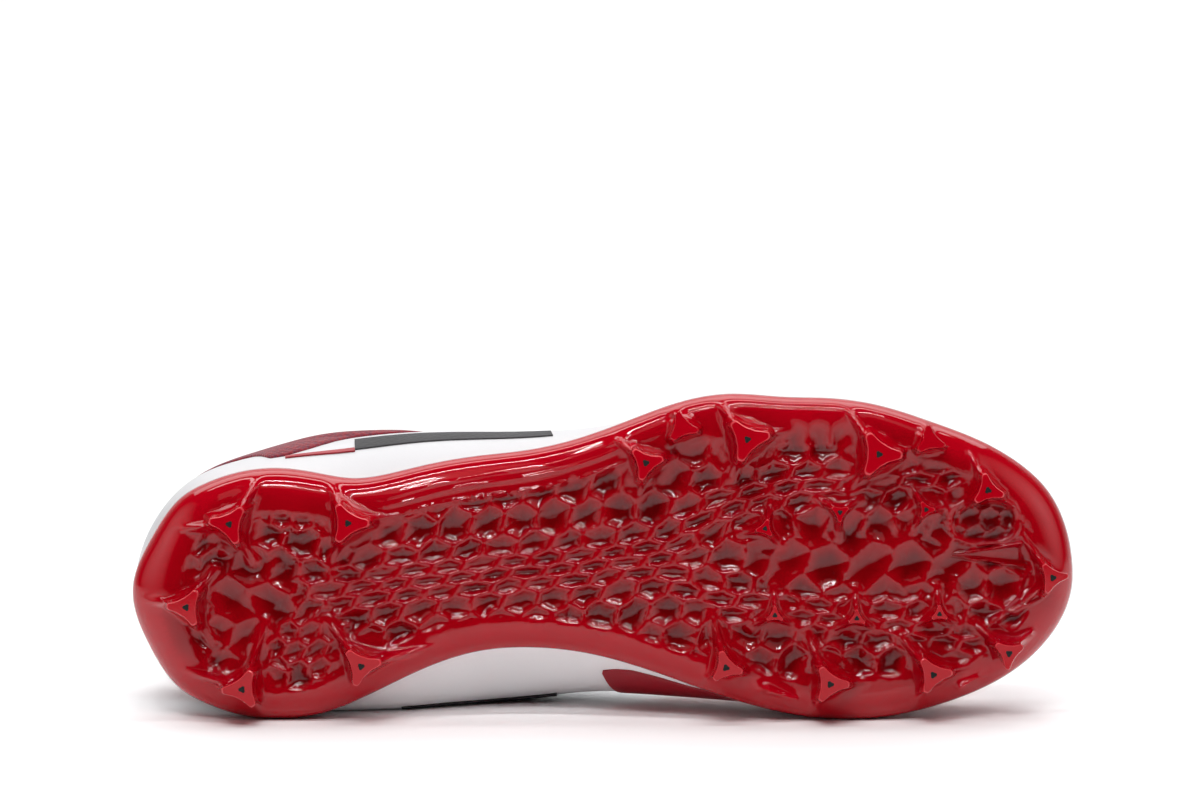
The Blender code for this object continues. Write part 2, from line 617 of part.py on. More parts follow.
build_outsole()
build_upper()
build_insole()
build_tongue()
build_lace()
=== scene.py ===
import math

import bmesh
import bpy
import numpy as np
from mathutils import Vector, Matrix
from mathutils.geometry import delaunay_2d_cdt

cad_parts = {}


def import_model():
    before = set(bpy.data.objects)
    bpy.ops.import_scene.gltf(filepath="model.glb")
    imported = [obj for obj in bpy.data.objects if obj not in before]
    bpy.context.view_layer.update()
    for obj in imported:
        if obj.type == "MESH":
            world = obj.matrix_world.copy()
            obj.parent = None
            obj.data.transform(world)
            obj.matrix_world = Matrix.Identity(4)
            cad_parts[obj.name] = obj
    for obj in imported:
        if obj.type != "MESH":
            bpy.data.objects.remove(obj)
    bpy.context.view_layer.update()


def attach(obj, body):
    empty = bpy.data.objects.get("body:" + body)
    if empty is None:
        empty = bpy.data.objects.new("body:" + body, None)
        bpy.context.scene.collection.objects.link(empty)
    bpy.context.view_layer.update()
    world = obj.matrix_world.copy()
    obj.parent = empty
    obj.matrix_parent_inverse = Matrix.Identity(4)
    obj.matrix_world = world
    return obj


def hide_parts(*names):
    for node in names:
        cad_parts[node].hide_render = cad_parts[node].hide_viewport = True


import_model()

# Football cleat, right shoe, lying on its medial side.
# Shapes are worked out in the shoe frame, in millimetres: x heel to toe,
# y positive to the medial side, z up from the stud tips. world() lays them down.

# ---------------------------------------------------------------- sizes
LEAN = math.radians(5.0)
SHIFT = np.array([-150.0, -52.51, 0.0])
WALL = 2.0
COLLAR_WALL = 3.0
PLATE_THICK = 3.0
RIM_LIP = 2.0
RIM_INSET = 2.5
GAP = 0.4
STUD_HEIGHT = 11.0
FLOOR_PRESS = 0.6

PLATE_COLS = ("x", "lateral", "medial")
PLATE = [
    (1.5, -5.8, 5.8), (7.0, 13.6, 26.6), (15.0, 24.2, 36.7), (23.1, 29.0, 41.2),
    (35.2, 32.9, 45.1), (47.1, 33.9, 46.0), (59.0, 32.4, 44.7), (71.0, 30.7, 40.5),
    (83.0, 32.4, 34.8), (94.9, 35.2, 29.4), (110.8, 37.8, 24.7), (126.7, 39.7, 23.6),
    (142.7, 43.5, 25.0), (158.7, 49.3, 28.7), (174.6, 55.0, 34.0), (190.5, 57.6, 39.6),
    (206.4, 56.7, 43.8), (222.3, 56.2, 46.1), (238.3, 53.8, 45.7), (254.4, 48.8, 42.6),
    (270.6, 42.6, 37.1), (283.0, 35.6, 30.5), (293.4, 26.0, 21.2), (301.5, -0.9, 0.9),
]
UPPER_COLS = ("x", "lateral", "medial", "z_lateral", "z_medial")
UPPER = [
    (-1.5, -5.5, 5.5, 42, 42), (6.0, 18.5, 27.0, 43, 40), (15.0, 28.4, 37.0, 45, 37),
    (25.0, 33.6, 41.6, 47, 35), (40.0, 37.6, 43.8, 51, 33), (55.0, 40.6, 44.4, 54, 32),
    (70.0, 43.0, 44.5, 55, 33), (85.0, 44.5, 44.2, 54, 36), (100.0, 45.0, 43.6, 52, 43),
    (115.0, 45.0, 43.0, 50, 50), (130.0, 45.2, 41.7, 48, 52), (148.0, 46.6, 39.8, 45, 49),
    (165.0, 50.0, 39.8, 41, 43), (182.0, 53.2, 40.6, 37, 38), (200.0, 54.4, 41.8, 35, 35),
    (225.0, 53.0, 42.8, 34, 34), (245.0, 48.9, 41.4, 35, 35), (262.0, 43.2, 37.6, 37, 37),
    (277.0, 36.0, 30.8, 39, 39), (288.5, 26.6, 21.8, 40, 40), (298.0, -0.6, 0.6, 41, 41),
]
SOLE_COLS = ("x", "z_bottom", "rim_height", "round_lateral", "round_medial")
SOLE = [
    (1.5, 15.5, 15.0, 15.0, 15.0), (12, 12.6, 15.0, 14.0, 14.0), (28, 11.1, 14.0, 10.0, 10.0),
    (55, 11.0, 12.5, 8.5, 9.0), (80, 11.6, 11.0, 8.0, 9.0), (102, 14.0, 10.5, 8.0, 9.0),
    (125, 16.0, 10.0, 8.0, 9.0), (150, 14.2, 10.0, 7.4, 9.0), (175, 11.7, 10.5, 5.8, 8.5),
    (195, 11.0, 11.0, 5.2, 8.5), (230, 11.4, 11.0, 5.2, 8.5), (255, 13.4, 12.0, 7.2, 9.5),
    (276, 17.0, 13.0, 11.5, 11.5), (290, 20.8, 14.0, 12.5, 12.5), (301.5, 23.8, 14.5, 13.0, 13.0),
]
LAST_COLS = ("x", "ridge_x", "ridge_y", "ridge_z", "cut_lateral", "cut_medial", "fullness")
LAST = [
    (-1.5, 36, 4.0, 128, 27.5, 27.5, 2.0), (15, 46, 3.6, 126, 23.5, 26.5, 2.0),
    (40, 60, 2.8, 122, 13.5, 22.5, 2.0), (65, 78, 1.0, 117, 8.5, 21.5, 2.0),
    (85, 93, -0.4, 112, 17.0, 25.0, 2.0), (97, 103, -1.0, 108, 38.0, 41.0, 2.0),
    (107, 111, -1.6, 104, 56.0, 56.5, 2.0), (122, 124, -2.2, 97, 65.0, 64.0, 2.0),
    (150, 149, -3.0, 84, 70.0, 68.5, 2.05), (180, 174, -3.4, 72.5, 74.5, 73.0, 2.15),
    (197, 188, -3.4, 67.5, 79.0, 78.0, 2.2), (208, 197, -3.3, 65, 90.0, 90.0, 2.2),
    (230, 216, -3.0, 61.5, 90.0, 90.0, 2.25), (258, 239, -1.8, 58.5, 90.0, 90.0, 2.3),
    (281, 252, -0.8, 57, 90.0, 90.0, 2.3), (298.0, 257.5, 0.0, 56.5, 90.0, 90.0, 2.3),
]
STUD_COLS = ("name", "x", "y", "corner_deg", "radius", "height", "reach")
STUDS = [
    ("heel_1", 32.9, -16.7, 189, 6.5, 1.0, 1.4), ("heel_2", 70.1, -17.0, 0, 6.7, 1.0, 1.38),
    ("heel_3", 19.3, 9.4, 183, 6.2, 1.0, 1.4), ("heel_4", 36.9, 35.1, 176, 6.5, 1.0, 1.4),
    ("heel_5", 74.2, 27.9, -13, 6.4, 1.0, 1.45), ("fore_1", 163.5, -35.9, -14, 5.6, 1.0, 1.4),
    ("fore_2", 195.3, -43.3, -11, 7.2, 1.0, 1.28), ("fore_3", 236.6, -38.6, 2, 7.4, 1.0, 1.25),
    ("fore_5", 271.2, -27.2, 18, 5.4, 1.0, 1.45), ("toe_6", 292.4, 0.7, -6, 5.2, 0.9, 1.4),
    ("fore_7", 278.0, 24.3, -25, 5.2, 1.0, 1.45), ("fore_8", 253.8, 30.7, -6, 6.1, 1.0, 1.42),
    ("fore_9", 221.3, 33.5, 1, 6.1, 1.0, 1.45), ("fore_10", 188.6, 28.3, 14, 5.4, 1.0, 1.5),
    ("inner_1", 201.0, -15.2, -72, 3.0, 0.62, 2.3), ("inner_2", 224.6, -20.3, 92, 3.0, 0.62, 2.3),
    ("inner_3", 251.8, -21.1, 0, 2.8, 0.62, 2.3), ("inner_4", 204.1, 12.1, -90, 2.8, 0.62, 2.3),
    ("inner_5", 229.9, 13.1, -90, 2.8, 0.62, 2.3), ("inner_6", 256.1, 11.9, -90, 2.8, 0.62, 2.3),
    ("fin_1", 175.0, -47.0, 12, 5.2, 0.62, 1.3), ("fin_2", 253.2, -42.8, 20, 5.0, 0.62, 1.3),
]
# ridges that run from a stud, or between two places, along the plate:
# start x, y, end x, y, height and half width at the start
RIDGE_COLS = ("x0", "y0", "x1", "y1", "height", "half_width")
RIDGES = [
    (32.9, -16.7, 14.0, -14.5, 4.5, 3.4), (32.9, -16.7, 42.0, -31.5, 5.0, 3.2), (32.9, -16.7, 39.5, -4.5, 4.5, 3.0),
    (70.1, -17.0, 62.5, -31.0, 5.0, 3.2), (70.1, -17.0, 82.0, -18.5, 4.0, 4.6), (70.1, -17.0, 64.0, -4.0, 4.0, 2.8),
    (19.3, 9.4, 4.5, 8.0, 4.5, 3.4), (19.3, 9.4, 27.0, -2.0, 3.5, 2.8), (19.3, 9.4, 26.5, 20.5, 3.5, 2.8),
    (36.9, 35.1, 15.0, 29.5, 4.5, 3.4), (36.9, 35.1, 43.0, 15.0, 4.5, 3.0), (36.9, 35.1, 43.0, 45.0, 4.0, 3.0),
    (74.2, 27.9, 62.5, 14.0, 4.5, 3.0), (74.2, 27.9, 97.0, 22.5, 4.5, 3.4), (74.2, 27.9, 70.5, 38.5, 3.5, 3.0),
    (163.5, -35.9, 152.5, -44.5, 4.5, 3.0), (163.5, -35.9, 173.0, -38.0, 3.0, 2.6), (163.5, -35.9, 161.5, -25.0, 3.5, 2.4),
    (176.8, -46.4, 172.0, -53.0, 2.8, 2.2),
    (195.3, -43.3, 185.5, -56.0, 5.0, 3.4), (195.3, -43.3, 208.0, -46.0, 3.5, 3.0), (195.3, -43.3, 190.5, -31.0, 4.0, 2.8),
    (236.6, -38.6, 226.0, -54.5, 5.0, 3.4), (236.6, -38.6, 248.5, -40.0, 4.0, 3.0), (236.6, -38.6, 228.5, -27.5, 4.0, 2.8),
    (253.7, -42.0, 252.0, -49.0, 2.8, 2.2),
    (271.2, -27.2, 266.0, -41.0, 4.0, 3.0), (271.2, -27.2, 280.0, -22.0, 3.0, 2.6), (271.2, -27.2, 262.0, -19.0, 3.5, 2.6),
    (292.4, 0.7, 282.5, -14.0, 4.0, 3.0), (292.4, 0.7, 281.5, 11.0, 3.5, 2.8),
    (278.0, 24.3, 268.0, 15.5, 4.5, 3.0), (278.0, 24.3, 287.0, 18.5, 3.0, 2.6),
    (253.8, 30.7, 243.5, 18.5, 4.5, 3.0), (253.8, 30.7, 266.0, 29.0, 3.5, 2.8), (253.8, 30.7, 249.5, 40.0, 3.0, 2.8),
    (221.3, 33.5, 214.5, 18.5, 4.5, 3.0), (221.3, 33.5, 233.5, 33.5, 3.5, 2.8), (221.3, 33.5, 216.0, 43.0, 3.0, 2.8),
    (188.6, 28.3, 184.5, 12.0, 4.5, 3.0), (188.6, 28.3, 199.0, 31.0, 3.5, 2.8), (188.6, 28.3, 181.5, 33.5, 3.0, 2.8),
    (202.0, 36.0, 211.0, 39.0, 1.8, 2.6), (263.5, 35.5, 271.0, 32.0, 1.8, 2.6),
    (284.0, -2.6, 261.0, -6.0, 0.8, 1.3), (283.0, -10.0, 261.5, -6.8, 0.8, 1.3),
    (274.0, 14.5, 289.5, 8.0, 0.9, 2.6),
]
for _row in STUDS:
    if _row[0].startswith("inner"):
        for _turn in (0, 120, 240):
            _a = math.radians(_row[3] + _turn)
            RIDGES.append((_row[1], _row[2], _row[1] + 8.0 * math.cos(_a), _row[2] + 8.0 * math.sin(_a), 3.3, 2.3))


# ---------------------------------------------------------------- small maths
def spline(xs, ys, at):
    """Natural cubic through a short table."""
    xs = np.asarray(xs, float)
    ys = np.asarray(ys, float)
    n = len(xs)
    h = np.diff(xs)
    a = np.zeros((n, n))
    b = np.zeros(n)
    a[0, 0] = a[-1, -1] = 1.0
    for i in range(1, n - 1):
        a[i, i - 1], a[i, i], a[i, i + 1] = h[i - 1], 2 * (h[i - 1] + h[i]), h[i]
        b[i] = 6 * ((ys[i + 1] - ys[i]) / h[i] - (ys[i] - ys[i - 1]) / h[i - 1])
    m = np.linalg.solve(a, b)
    at = np.clip(np.asarray(at, float), xs[0], xs[-1])
    i = np.clip(np.searchsorted(xs, at) - 1, 0, n - 2)
    t0, t1 = xs[i + 1] - at, at - xs[i]
    return (m[i] * t0 ** 3 + m[i + 1] * t1 ** 3) / (6 * h[i]) \
        + (ys[i] / h[i] - m[i] * h[i] / 6) * t0 + (ys[i + 1] / h[i] - m[i + 1] * h[i] / 6) * t1


def column(table, names, name):
    return [row[names.index(name)] for row in table]


def share(x, x0, x1):
    return np.arccos(np.clip(1 - 2 * (np.asarray(x, float) - x0) / (x1 - x0), -1, 1)) / math.pi


def unshare(s, x0, x1):
    return x0 + (x1 - x0) * (1 - np.cos(np.pi * np.asarray(s, float))) / 2


def edge_line(table, names, side, s):
    xs = column(table, names, "x")
    key = "lateral" if side < 0 else "medial"
    ss = share(xs, xs[0], xs[-1])
    return np.stack([unshare(s, xs[0], xs[-1]),
                     side * spline(ss, column(table, names, key), s)], -1)


def plan_inward(table, names, side, s):
    e = 1e-4
    s = np.asarray(s, float)
    t = edge_line(table, names, side, np.clip(s + e, 0, 1)) - edge_line(table, names, side, np.clip(s - e, 0, 1))
    t[s < 1e-9] = (0.0, side)
    t[s > 1 - 1e-9] = (0.0, -side)
    t /= np.linalg.norm(t, axis=-1, keepdims=True)
    return np.stack([-t[..., 1] * -side, t[..., 0] * -side], -1)


def by_x(table, names, name, x):
    return spline(column(table, names, "x"), column(table, names, name), x)


def step(a, b, x):
    t = np.clip((np.asarray(x, float) - a) / (b - a), 0, 1)
    return t * t * (3 - 2 * t)


def bump(x, centre, width):
    return np.exp(-((np.asarray(x, float) - centre) / width) ** 2)


def sole_round(side, x):
    return np.where(np.asarray(side) < 0, by_x(SOLE, SOLE_COLS, "round_lateral", x),
                    by_x(SOLE, SOLE_COLS, "round_medial", x))


def plate_low(x):
    return by_x(SOLE, SOLE_COLS, "z_bottom", x)


def rim_high(x):
    return by_x(SOLE, SOLE_COLS, "rim_height", x)


def rim_rise(inset, width, height):
    k = np.clip(1 - inset / width, 0, 1)
    return height * (1 - np.sqrt(np.clip(1 - k * k, 0, 1)))


# ---------------------------------------------------------------- laying down
def lie_down(p):
    p = np.asarray(p, float)
    far, up = p[..., 2], -p[..., 1]
    return np.stack([p[..., 0], far * math.cos(LEAN) + up * math.sin(LEAN),
                     -far * math.sin(LEAN) + up * math.cos(LEAN)], -1)


def lean_dir(v):
    return lie_down(v)


_s = np.linspace(0, 1, 43)
_med = edge_line(PLATE, PLATE_COLS, 1, _s)
_edge = np.concatenate([_med, (plate_low(_med[:, 0]) + 0.72 * rim_high(_med[:, 0]))[:, None]], -1)
SHIFT[2] = -lie_down(_edge)[:, 2].min() - FLOOR_PRESS


def world(p, flatten=False):
    q = lie_down(p) + SHIFT
    if flatten:
        q[..., 2] = np.maximum(q[..., 2], 0.0)
    return q / 1000.0


# ---------------------------------------------------------------- mesh helpers
def new_object(name, verts, faces, mats, smooth=True, weld=1e-6, face_mat=None, painted_shading=None):
    me = bpy.data.meshes.new(name)
    me.from_pydata(np.asarray(verts).tolist(), [], faces)
    # optional per-point painted shading values, read by the red plate material as its base colour
    if painted_shading is not None:
        me.attributes.new("painted_shading", "FLOAT", "POINT").data.foreach_set("value", np.asarray(painted_shading, np.float32))
    if face_mat is not None:
        me.polygons.foreach_set("material_index", face_mat)
    for m in mats:
        me.materials.append(m)
    bm = bmesh.new()
    bm.from_mesh(me)
    if weld:
        bmesh.ops.remove_doubles(bm, verts=bm.verts, dist=weld)
    bmesh.ops.recalc_face_normals(bm, faces=bm.faces)
    bm.to_mesh(me)
    bm.free()
    me.polygons.foreach_set("use_smooth", [smooth] * len(me.polygons))
    ob = bpy.data.objects.new(name, me)
    bpy.context.scene.collection.objects.link(ob)
    return ob


def grid_faces(rows, cols, closed=False, base=0):
    r = np.arange(rows - 1)[:, None]
    c = np.arange(cols if closed else cols - 1)[None]
    d = (c + 1) % cols
    q = np.stack([r * cols + c, r * cols + d, (r + 1) * cols + d, (r + 1) * cols + c], -1) + base
    return q.reshape(-1, 4).tolist()


def around(lat, med):
    return np.concatenate([lat, med[-2:0:-1]])


# ---------------------------------------------------------------- materials
def base_material(name, colour, rough, **more):
    mat = bpy.data.materials.new(name)
    mat.use_nodes = True
    nt = mat.node_tree
    bsdf = nt.nodes["Principled BSDF"]
    bsdf.inputs["Base Color"].default_value = (*colour, 1.0)
    bsdf.inputs["Roughness"].default_value = rough
    for key, value in more.items():
        bsdf.inputs[key.replace("_", " ")].default_value = value
    return mat, nt, bsdf


def noise(nt, scale, detail=3.0, rough=0.5, coords="Object"):
    tc = nt.nodes.new("ShaderNodeTexCoord")
    n = nt.nodes.new("ShaderNodeTexNoise")
    n.inputs["Scale"].default_value = scale
    n.inputs["Detail"].default_value = detail
    n.inputs["Roughness"].default_value = rough
    nt.links.new(tc.outputs[coords], n.inputs["Vector"])
    return n


def add_bump(nt, bsdf, height_socket, strength, distance, normal_from=None):
    b = nt.nodes.new("ShaderNodeBump")
    b.inputs["Strength"].default_value = strength
    b.inputs["Distance"].default_value = distance
    nt.links.new(height_socket, b.inputs["Height"])
    if normal_from is not None:
        nt.links.new(normal_from, b.inputs["Normal"])
    nt.links.new(b.outputs["Normal"], bsdf.inputs["Normal"])
    return b.outputs["Normal"]


def ramp(nt, socket, stops):
    r = nt.nodes.new("ShaderNodeValToRGB")
    els = r.color_ramp.elements
    while len(els) < len(stops):
        els.new(0.5)
    for el, (pos, col) in zip(els, stops):
        el.position = pos
        el.color = (*col, 1.0) if len(col) == 3 else col
    nt.links.new(socket, r.inputs["Fac"])
    return r.outputs["Color"]


def red_plate_material():
    mat, nt, bsdf = base_material("red_plate", (0.31, 0.0, 0.004), 0.05, IOR=1.45)
    # painted shading: deep places of the moulding are darkened as painted shade, crests and rim lightened as painted
    # light, and the lightest stop is a painted highlight for the tip edges
    a = nt.nodes.new("ShaderNodeAttribute")
    a.attribute_name = "painted_shading"
    nt.links.new(ramp(nt, a.outputs["Fac"], [(0.0, (0.122, 0.0, 0.001)), (0.45, (0.266, 0.0, 0.003)), (0.94, (0.405, 0.0, 0.007)), (1.0, (0.52, 0.04, 0.05))]),
                 bsdf.inputs["Base Color"])
    f = noise(nt, 900.0, 2.0)
    add_bump(nt, bsdf, f.outputs["Fac"], 0.015, 0.0002)
    return mat


RED_PLATE = red_plate_material()


# ---------------------------------------------------------------- outsole
FINE = np.linspace(0, 1, 281)
DENSE_N = 1500
_d = np.linspace(0, 1, DENSE_N)
OUT_DENSE = np.concatenate([edge_line(PLATE, PLATE_COLS, -1, _d), edge_line(PLATE, PLATE_COLS, 1, _d[::-1])[1:-1]])
_run = np.roll(OUT_DENSE, -2, 0) - np.roll(OUT_DENSE, 2, 0)
_run /= np.linalg.norm(_run, axis=-1, keepdims=True)
OUT_IN = np.stack([-_run[:, 1], _run[:, 0]], -1)
OUT_SIDE = np.where(np.arange(len(OUT_DENSE)) < DENSE_N, -1, 1)


def inset_at(p):
    """Inset of plan points, with the outline's x and side nearest to them."""
    inset = np.empty(len(p))
    xe = np.empty(len(p))
    side = np.empty(len(p), int)
    for a in range(0, len(p), 4000):
        q = p[a:a + 4000]
        i = ((OUT_DENSE[None, :, 0] - q[:, None, 0]) ** 2 + (OUT_DENSE[None, :, 1] - q[:, None, 1]) ** 2).argmin(1)
        off = q - OUT_DENSE[i]
        inset[a:a + 4000] = (off * OUT_IN[i]).sum(-1)
        xe[a:a + 4000] = OUT_DENSE[i, 0]
        side[a:a + 4000] = OUT_SIDE[i]
    return inset, xe, side


# the cellular field: how far inside the outline it starts on each side
FIELD_COLS = ("x", "lateral", "medial")
FIELD = [
    (1.5, 15.0, 15.0), (20, 13.5, 12.0), (45, 14.0, 10.0), (62, 13.5, 9.5), (80, 13.0, 11.0), (95, 13.5, 11.0),
    (115, 13.0, 10.0), (136, 12.5, 9.5), (152, 12.0, 9.5), (168, 12.5, 9.0), (185, 14.0, 9.5), (205, 15.0, 11.0),
    (225, 15.0, 12.0), (240, 14.0, 13.5), (255, 12.5, 11.0), (275, 11.5, 10.5), (301.5, 12.5, 12.5),
]
CELL_PITCH = 10.5       # cells along the shoe
# rows of cells are closest along one band under the arch, which parts in two under the ball
BAND_COLS = ("x", "arch", "ball_lateral", "ball_medial")
BANDS = [
    (20, 8.0, 8.0, 8.0), (60, 5.0, 5.0, 5.0), (117, 0.0, 0.0, 0.0), (150, -3.0, -4.0, -1.0), (168, -5.0, -10.0, 3.0),
    (185, -5.5, -21.0, 8.0), (205, -6.0, -27.0, 11.0), (230, -6.0, -29.5, 14.5), (260, -6.0, -32.0, 19.0), (290, -6.0, -30.0, 22.0),
]


def row_density(x, y):
    """Rows of cells per millimetre across the shoe."""
    arch = step(40, 82, x) * (1 - step(160, 192, x))
    ball = step(160, 192, x) * (1 - step(272, 288, x))
    b0, b1, b2 = (by_x(BANDS, BAND_COLS, k, x) for k in BAND_COLS[1:])
    rho = 1 / 10.0
    rho = rho + 0.18 * arch * bump(y, b0, 8.5)
    rho = rho + 0.15 * ball * (bump(y, b1, 6.0) + bump(y, b2, 6.0))
    return rho


_gx = np.linspace(0, 304, 305)
_gy = np.linspace(-64, 54, 473)
_rho = row_density(_gx[:, None], _gy[None])
_v = np.cumsum(_rho, 1) * (_gy[1] - _gy[0])
_v -= np.array([np.interp(by_x(BANDS, BAND_COLS, "arch", x), _gy, r) for x, r in zip(_gx, _v)])[:, None]
ROW_UNIT = math.sqrt(3) / 2
SLANT = 0.10            # columns lean with the rows


def drift(p):
    """Slow wander that makes the cells uneven, in millimetres."""
    x, y = p[:, 0], p[:, 1]
    tight = np.clip(1 / row_density(x, y) / 10, 0.3, 1)
    wx = 0.85 * np.sin(0.41 * x + 0.23 * y + 1.7) + 0.55 * np.sin(0.17 * x - 0.52 * y + 0.4) + 0.3 * np.sin(0.71 * x + 0.61 * y + 2.2)
    wy = 0.75 * np.sin(0.37 * x - 0.33 * y + 0.9) + 0.5 * np.sin(-0.21 * x + 0.49 * y + 2.9) + 0.25 * np.sin(0.83 * x + 0.41 * y + 1.1)
    return 0.6 * np.stack([wx * (0.5 + 0.5 * tight), wy * tight], -1)


def cell_uv(plan):
    """Lattice place of plan points."""
    p = plan + drift(plan)
    fx = np.clip(p[:, 0], 0, 303.999)
    i = fx.astype(int)
    t = fx - i
    fy = np.clip((p[:, 1] - _gy[0]) / (_gy[1] - _gy[0]), 0, len(_gy) - 1.001)
    j = fy.astype(int)
    w = fy - j
    v = (_v[i, j] * (1 - t) + _v[i + 1, j] * t) * (1 - w) + (_v[i, j + 1] * (1 - t) + _v[i + 1, j + 1] * t) * w
    return np.stack([p[:, 0] / CELL_PITCH + SLANT * v, v * ROW_UNIT], -1)


def cell_plan(u, vv):
    """Plan points of lattice places."""
    v = vv / ROW_UNIT
    x = np.clip((u - SLANT * v) * CELL_PITCH, 0, 303.99)
    i = x.astype(int)
    t = x - i
    y = np.empty(len(x))
    for n in range(len(x)):
        row = _v[i[n]] * (1 - t[n]) + _v[i[n] + 1] * t[n]
        y[n] = np.interp(v[n], row, _gy)
    q = np.stack([x, y], -1)
    p = q.copy()
    for _ in range(12):
        p = q - drift(p)
    return p


def cell_share(uv):
    """Share of the way from a cell's middle to its edge, and the cell's own number."""
    k0 = np.round(uv[:, 1] / ROW_UNIT)
    best = np.full(len(uv), 9.0)
    who = np.zeros((len(uv), 2))
    loc = np.zeros((len(uv), 2))
    for dk in (-1, 0, 1):
        k = k0 + dk
        off = 0.5 * (np.mod(k, 2))
        for du in (-1, 0, 1):
            c = np.round(uv[:, 0] - off) + du
            p = uv[:, 0] - off - c
            q = uv[:, 1] - k * ROW_UNIT
            t = 2 * np.maximum(np.abs(p), np.maximum(np.abs(0.5 * p + ROW_UNIT * q), np.abs(-0.5 * p + ROW_UNIT * q)))
            near = t < best
            best = np.where(near, t, best)
            who[near] = np.stack([c, k], -1)[near]
            loc[near] = np.stack([p, q], -1)[near]
    return np.clip(best, 0, 1), who, loc


def ridge_share(pitch):
    """Share of a cell at which its bowl ends and the ridge between cells begins."""
    return np.clip(1 - 0.85 / pitch, 0.76, 0.915)


def hash01(who, seed):
    v = np.sin(who[:, 0] * 12.9898 + who[:, 1] * 78.233 + seed * 37.719) * 43758.5453
    return v - np.floor(v)


LEG_RISE = 2.25


def ridge_height(p):
    """Height of the long ridges over the plate at plan points."""
    out = np.zeros(len(p))
    for row in RIDGES:
        r = dict(zip(RIDGE_COLS, row))
        a = np.array([r["x0"], r["y0"]])
        d = np.array([r["x1"], r["y1"]]) - a
        length = np.linalg.norm(d)
        d /= length
        off = p - a
        s = off @ d / length
        e = np.abs(off @ np.array([-d[1], d[0]]))
        s1 = np.clip(s, 0, 1)
        half = r["half_width"] * (0.95 - 0.40 * s1)
        away = np.sqrt(e ** 2 + (np.clip(s - 1, 0, None) * length) ** 2 + (np.clip(-s, 0, None) * length) ** 2)
        core = np.clip(1 - (away / (0.66 * half)) ** 2, 0, 1) ** 0.85
        skirt = np.clip(1 - away / (1.9 * half), 0, 1) ** 2
        fall = 0.02 + 0.98 * (1 - s1) ** 1.4 if r["height"] > 3.2 else 1 - 0.72 * s1 ** 1.1
        out = np.maximum(out, r["height"] * LEG_RISE * fall * (0.58 * core + 0.42 * skirt))
    return out


def leg_clear(p):
    """0 along the legs of the studs rising to 1 a little beside them."""
    out = np.ones(len(p))
    for row in RIDGES:
        r = dict(zip(RIDGE_COLS, row))
        if r["height"] <= 3.2:
            continue
        a = np.array([r["x0"], r["y0"]])
        d = np.array([r["x1"], r["y1"]]) - a
        s = np.clip((p - a) @ d / (d @ d), 0, 1)
        away = np.linalg.norm(p - a - s[:, None] * d, axis=-1)
        wide = r["half_width"] * (1.0 - 0.45 * s)
        out = np.minimum(out, step(0.7 * wide, 0.7 * wide + 2.4, away))
    return out


def stud_clear(p):
    """0 at a stud's foot rising to 1 a few millimetres away."""
    out = np.ones(len(p))
    for row in STUDS:
        st = dict(zip(STUD_COLS, row))
        d = np.hypot(p[:, 0] - st["x"], p[:, 1] - st["y"])
        out = np.minimum(out, step(st["radius"] * 1.15, st["radius"] * 1.15 + 5.0, d))
    return out


# places of small honeycomb: middle x, y and half lengths
SMALL = [(59.0, 21.5, 15.0, 11.5), (52.0, -19.5, 11.0, 6.5), (271.0, -17.0, 11.0, 6.6)]


def small_cells(p):
    """Share of the way from the middle of a small cell to its edge."""
    u = (p[:, 0] + 0.3 * p[:, 1] + 0.5 * np.sin(0.5 * p[:, 1])) / 6.6
    v = (p[:, 1] + 0.5 * np.sin(0.43 * p[:, 0])) / 6.0 * ROW_UNIT
    return cell_share(np.stack([u, v], -1))


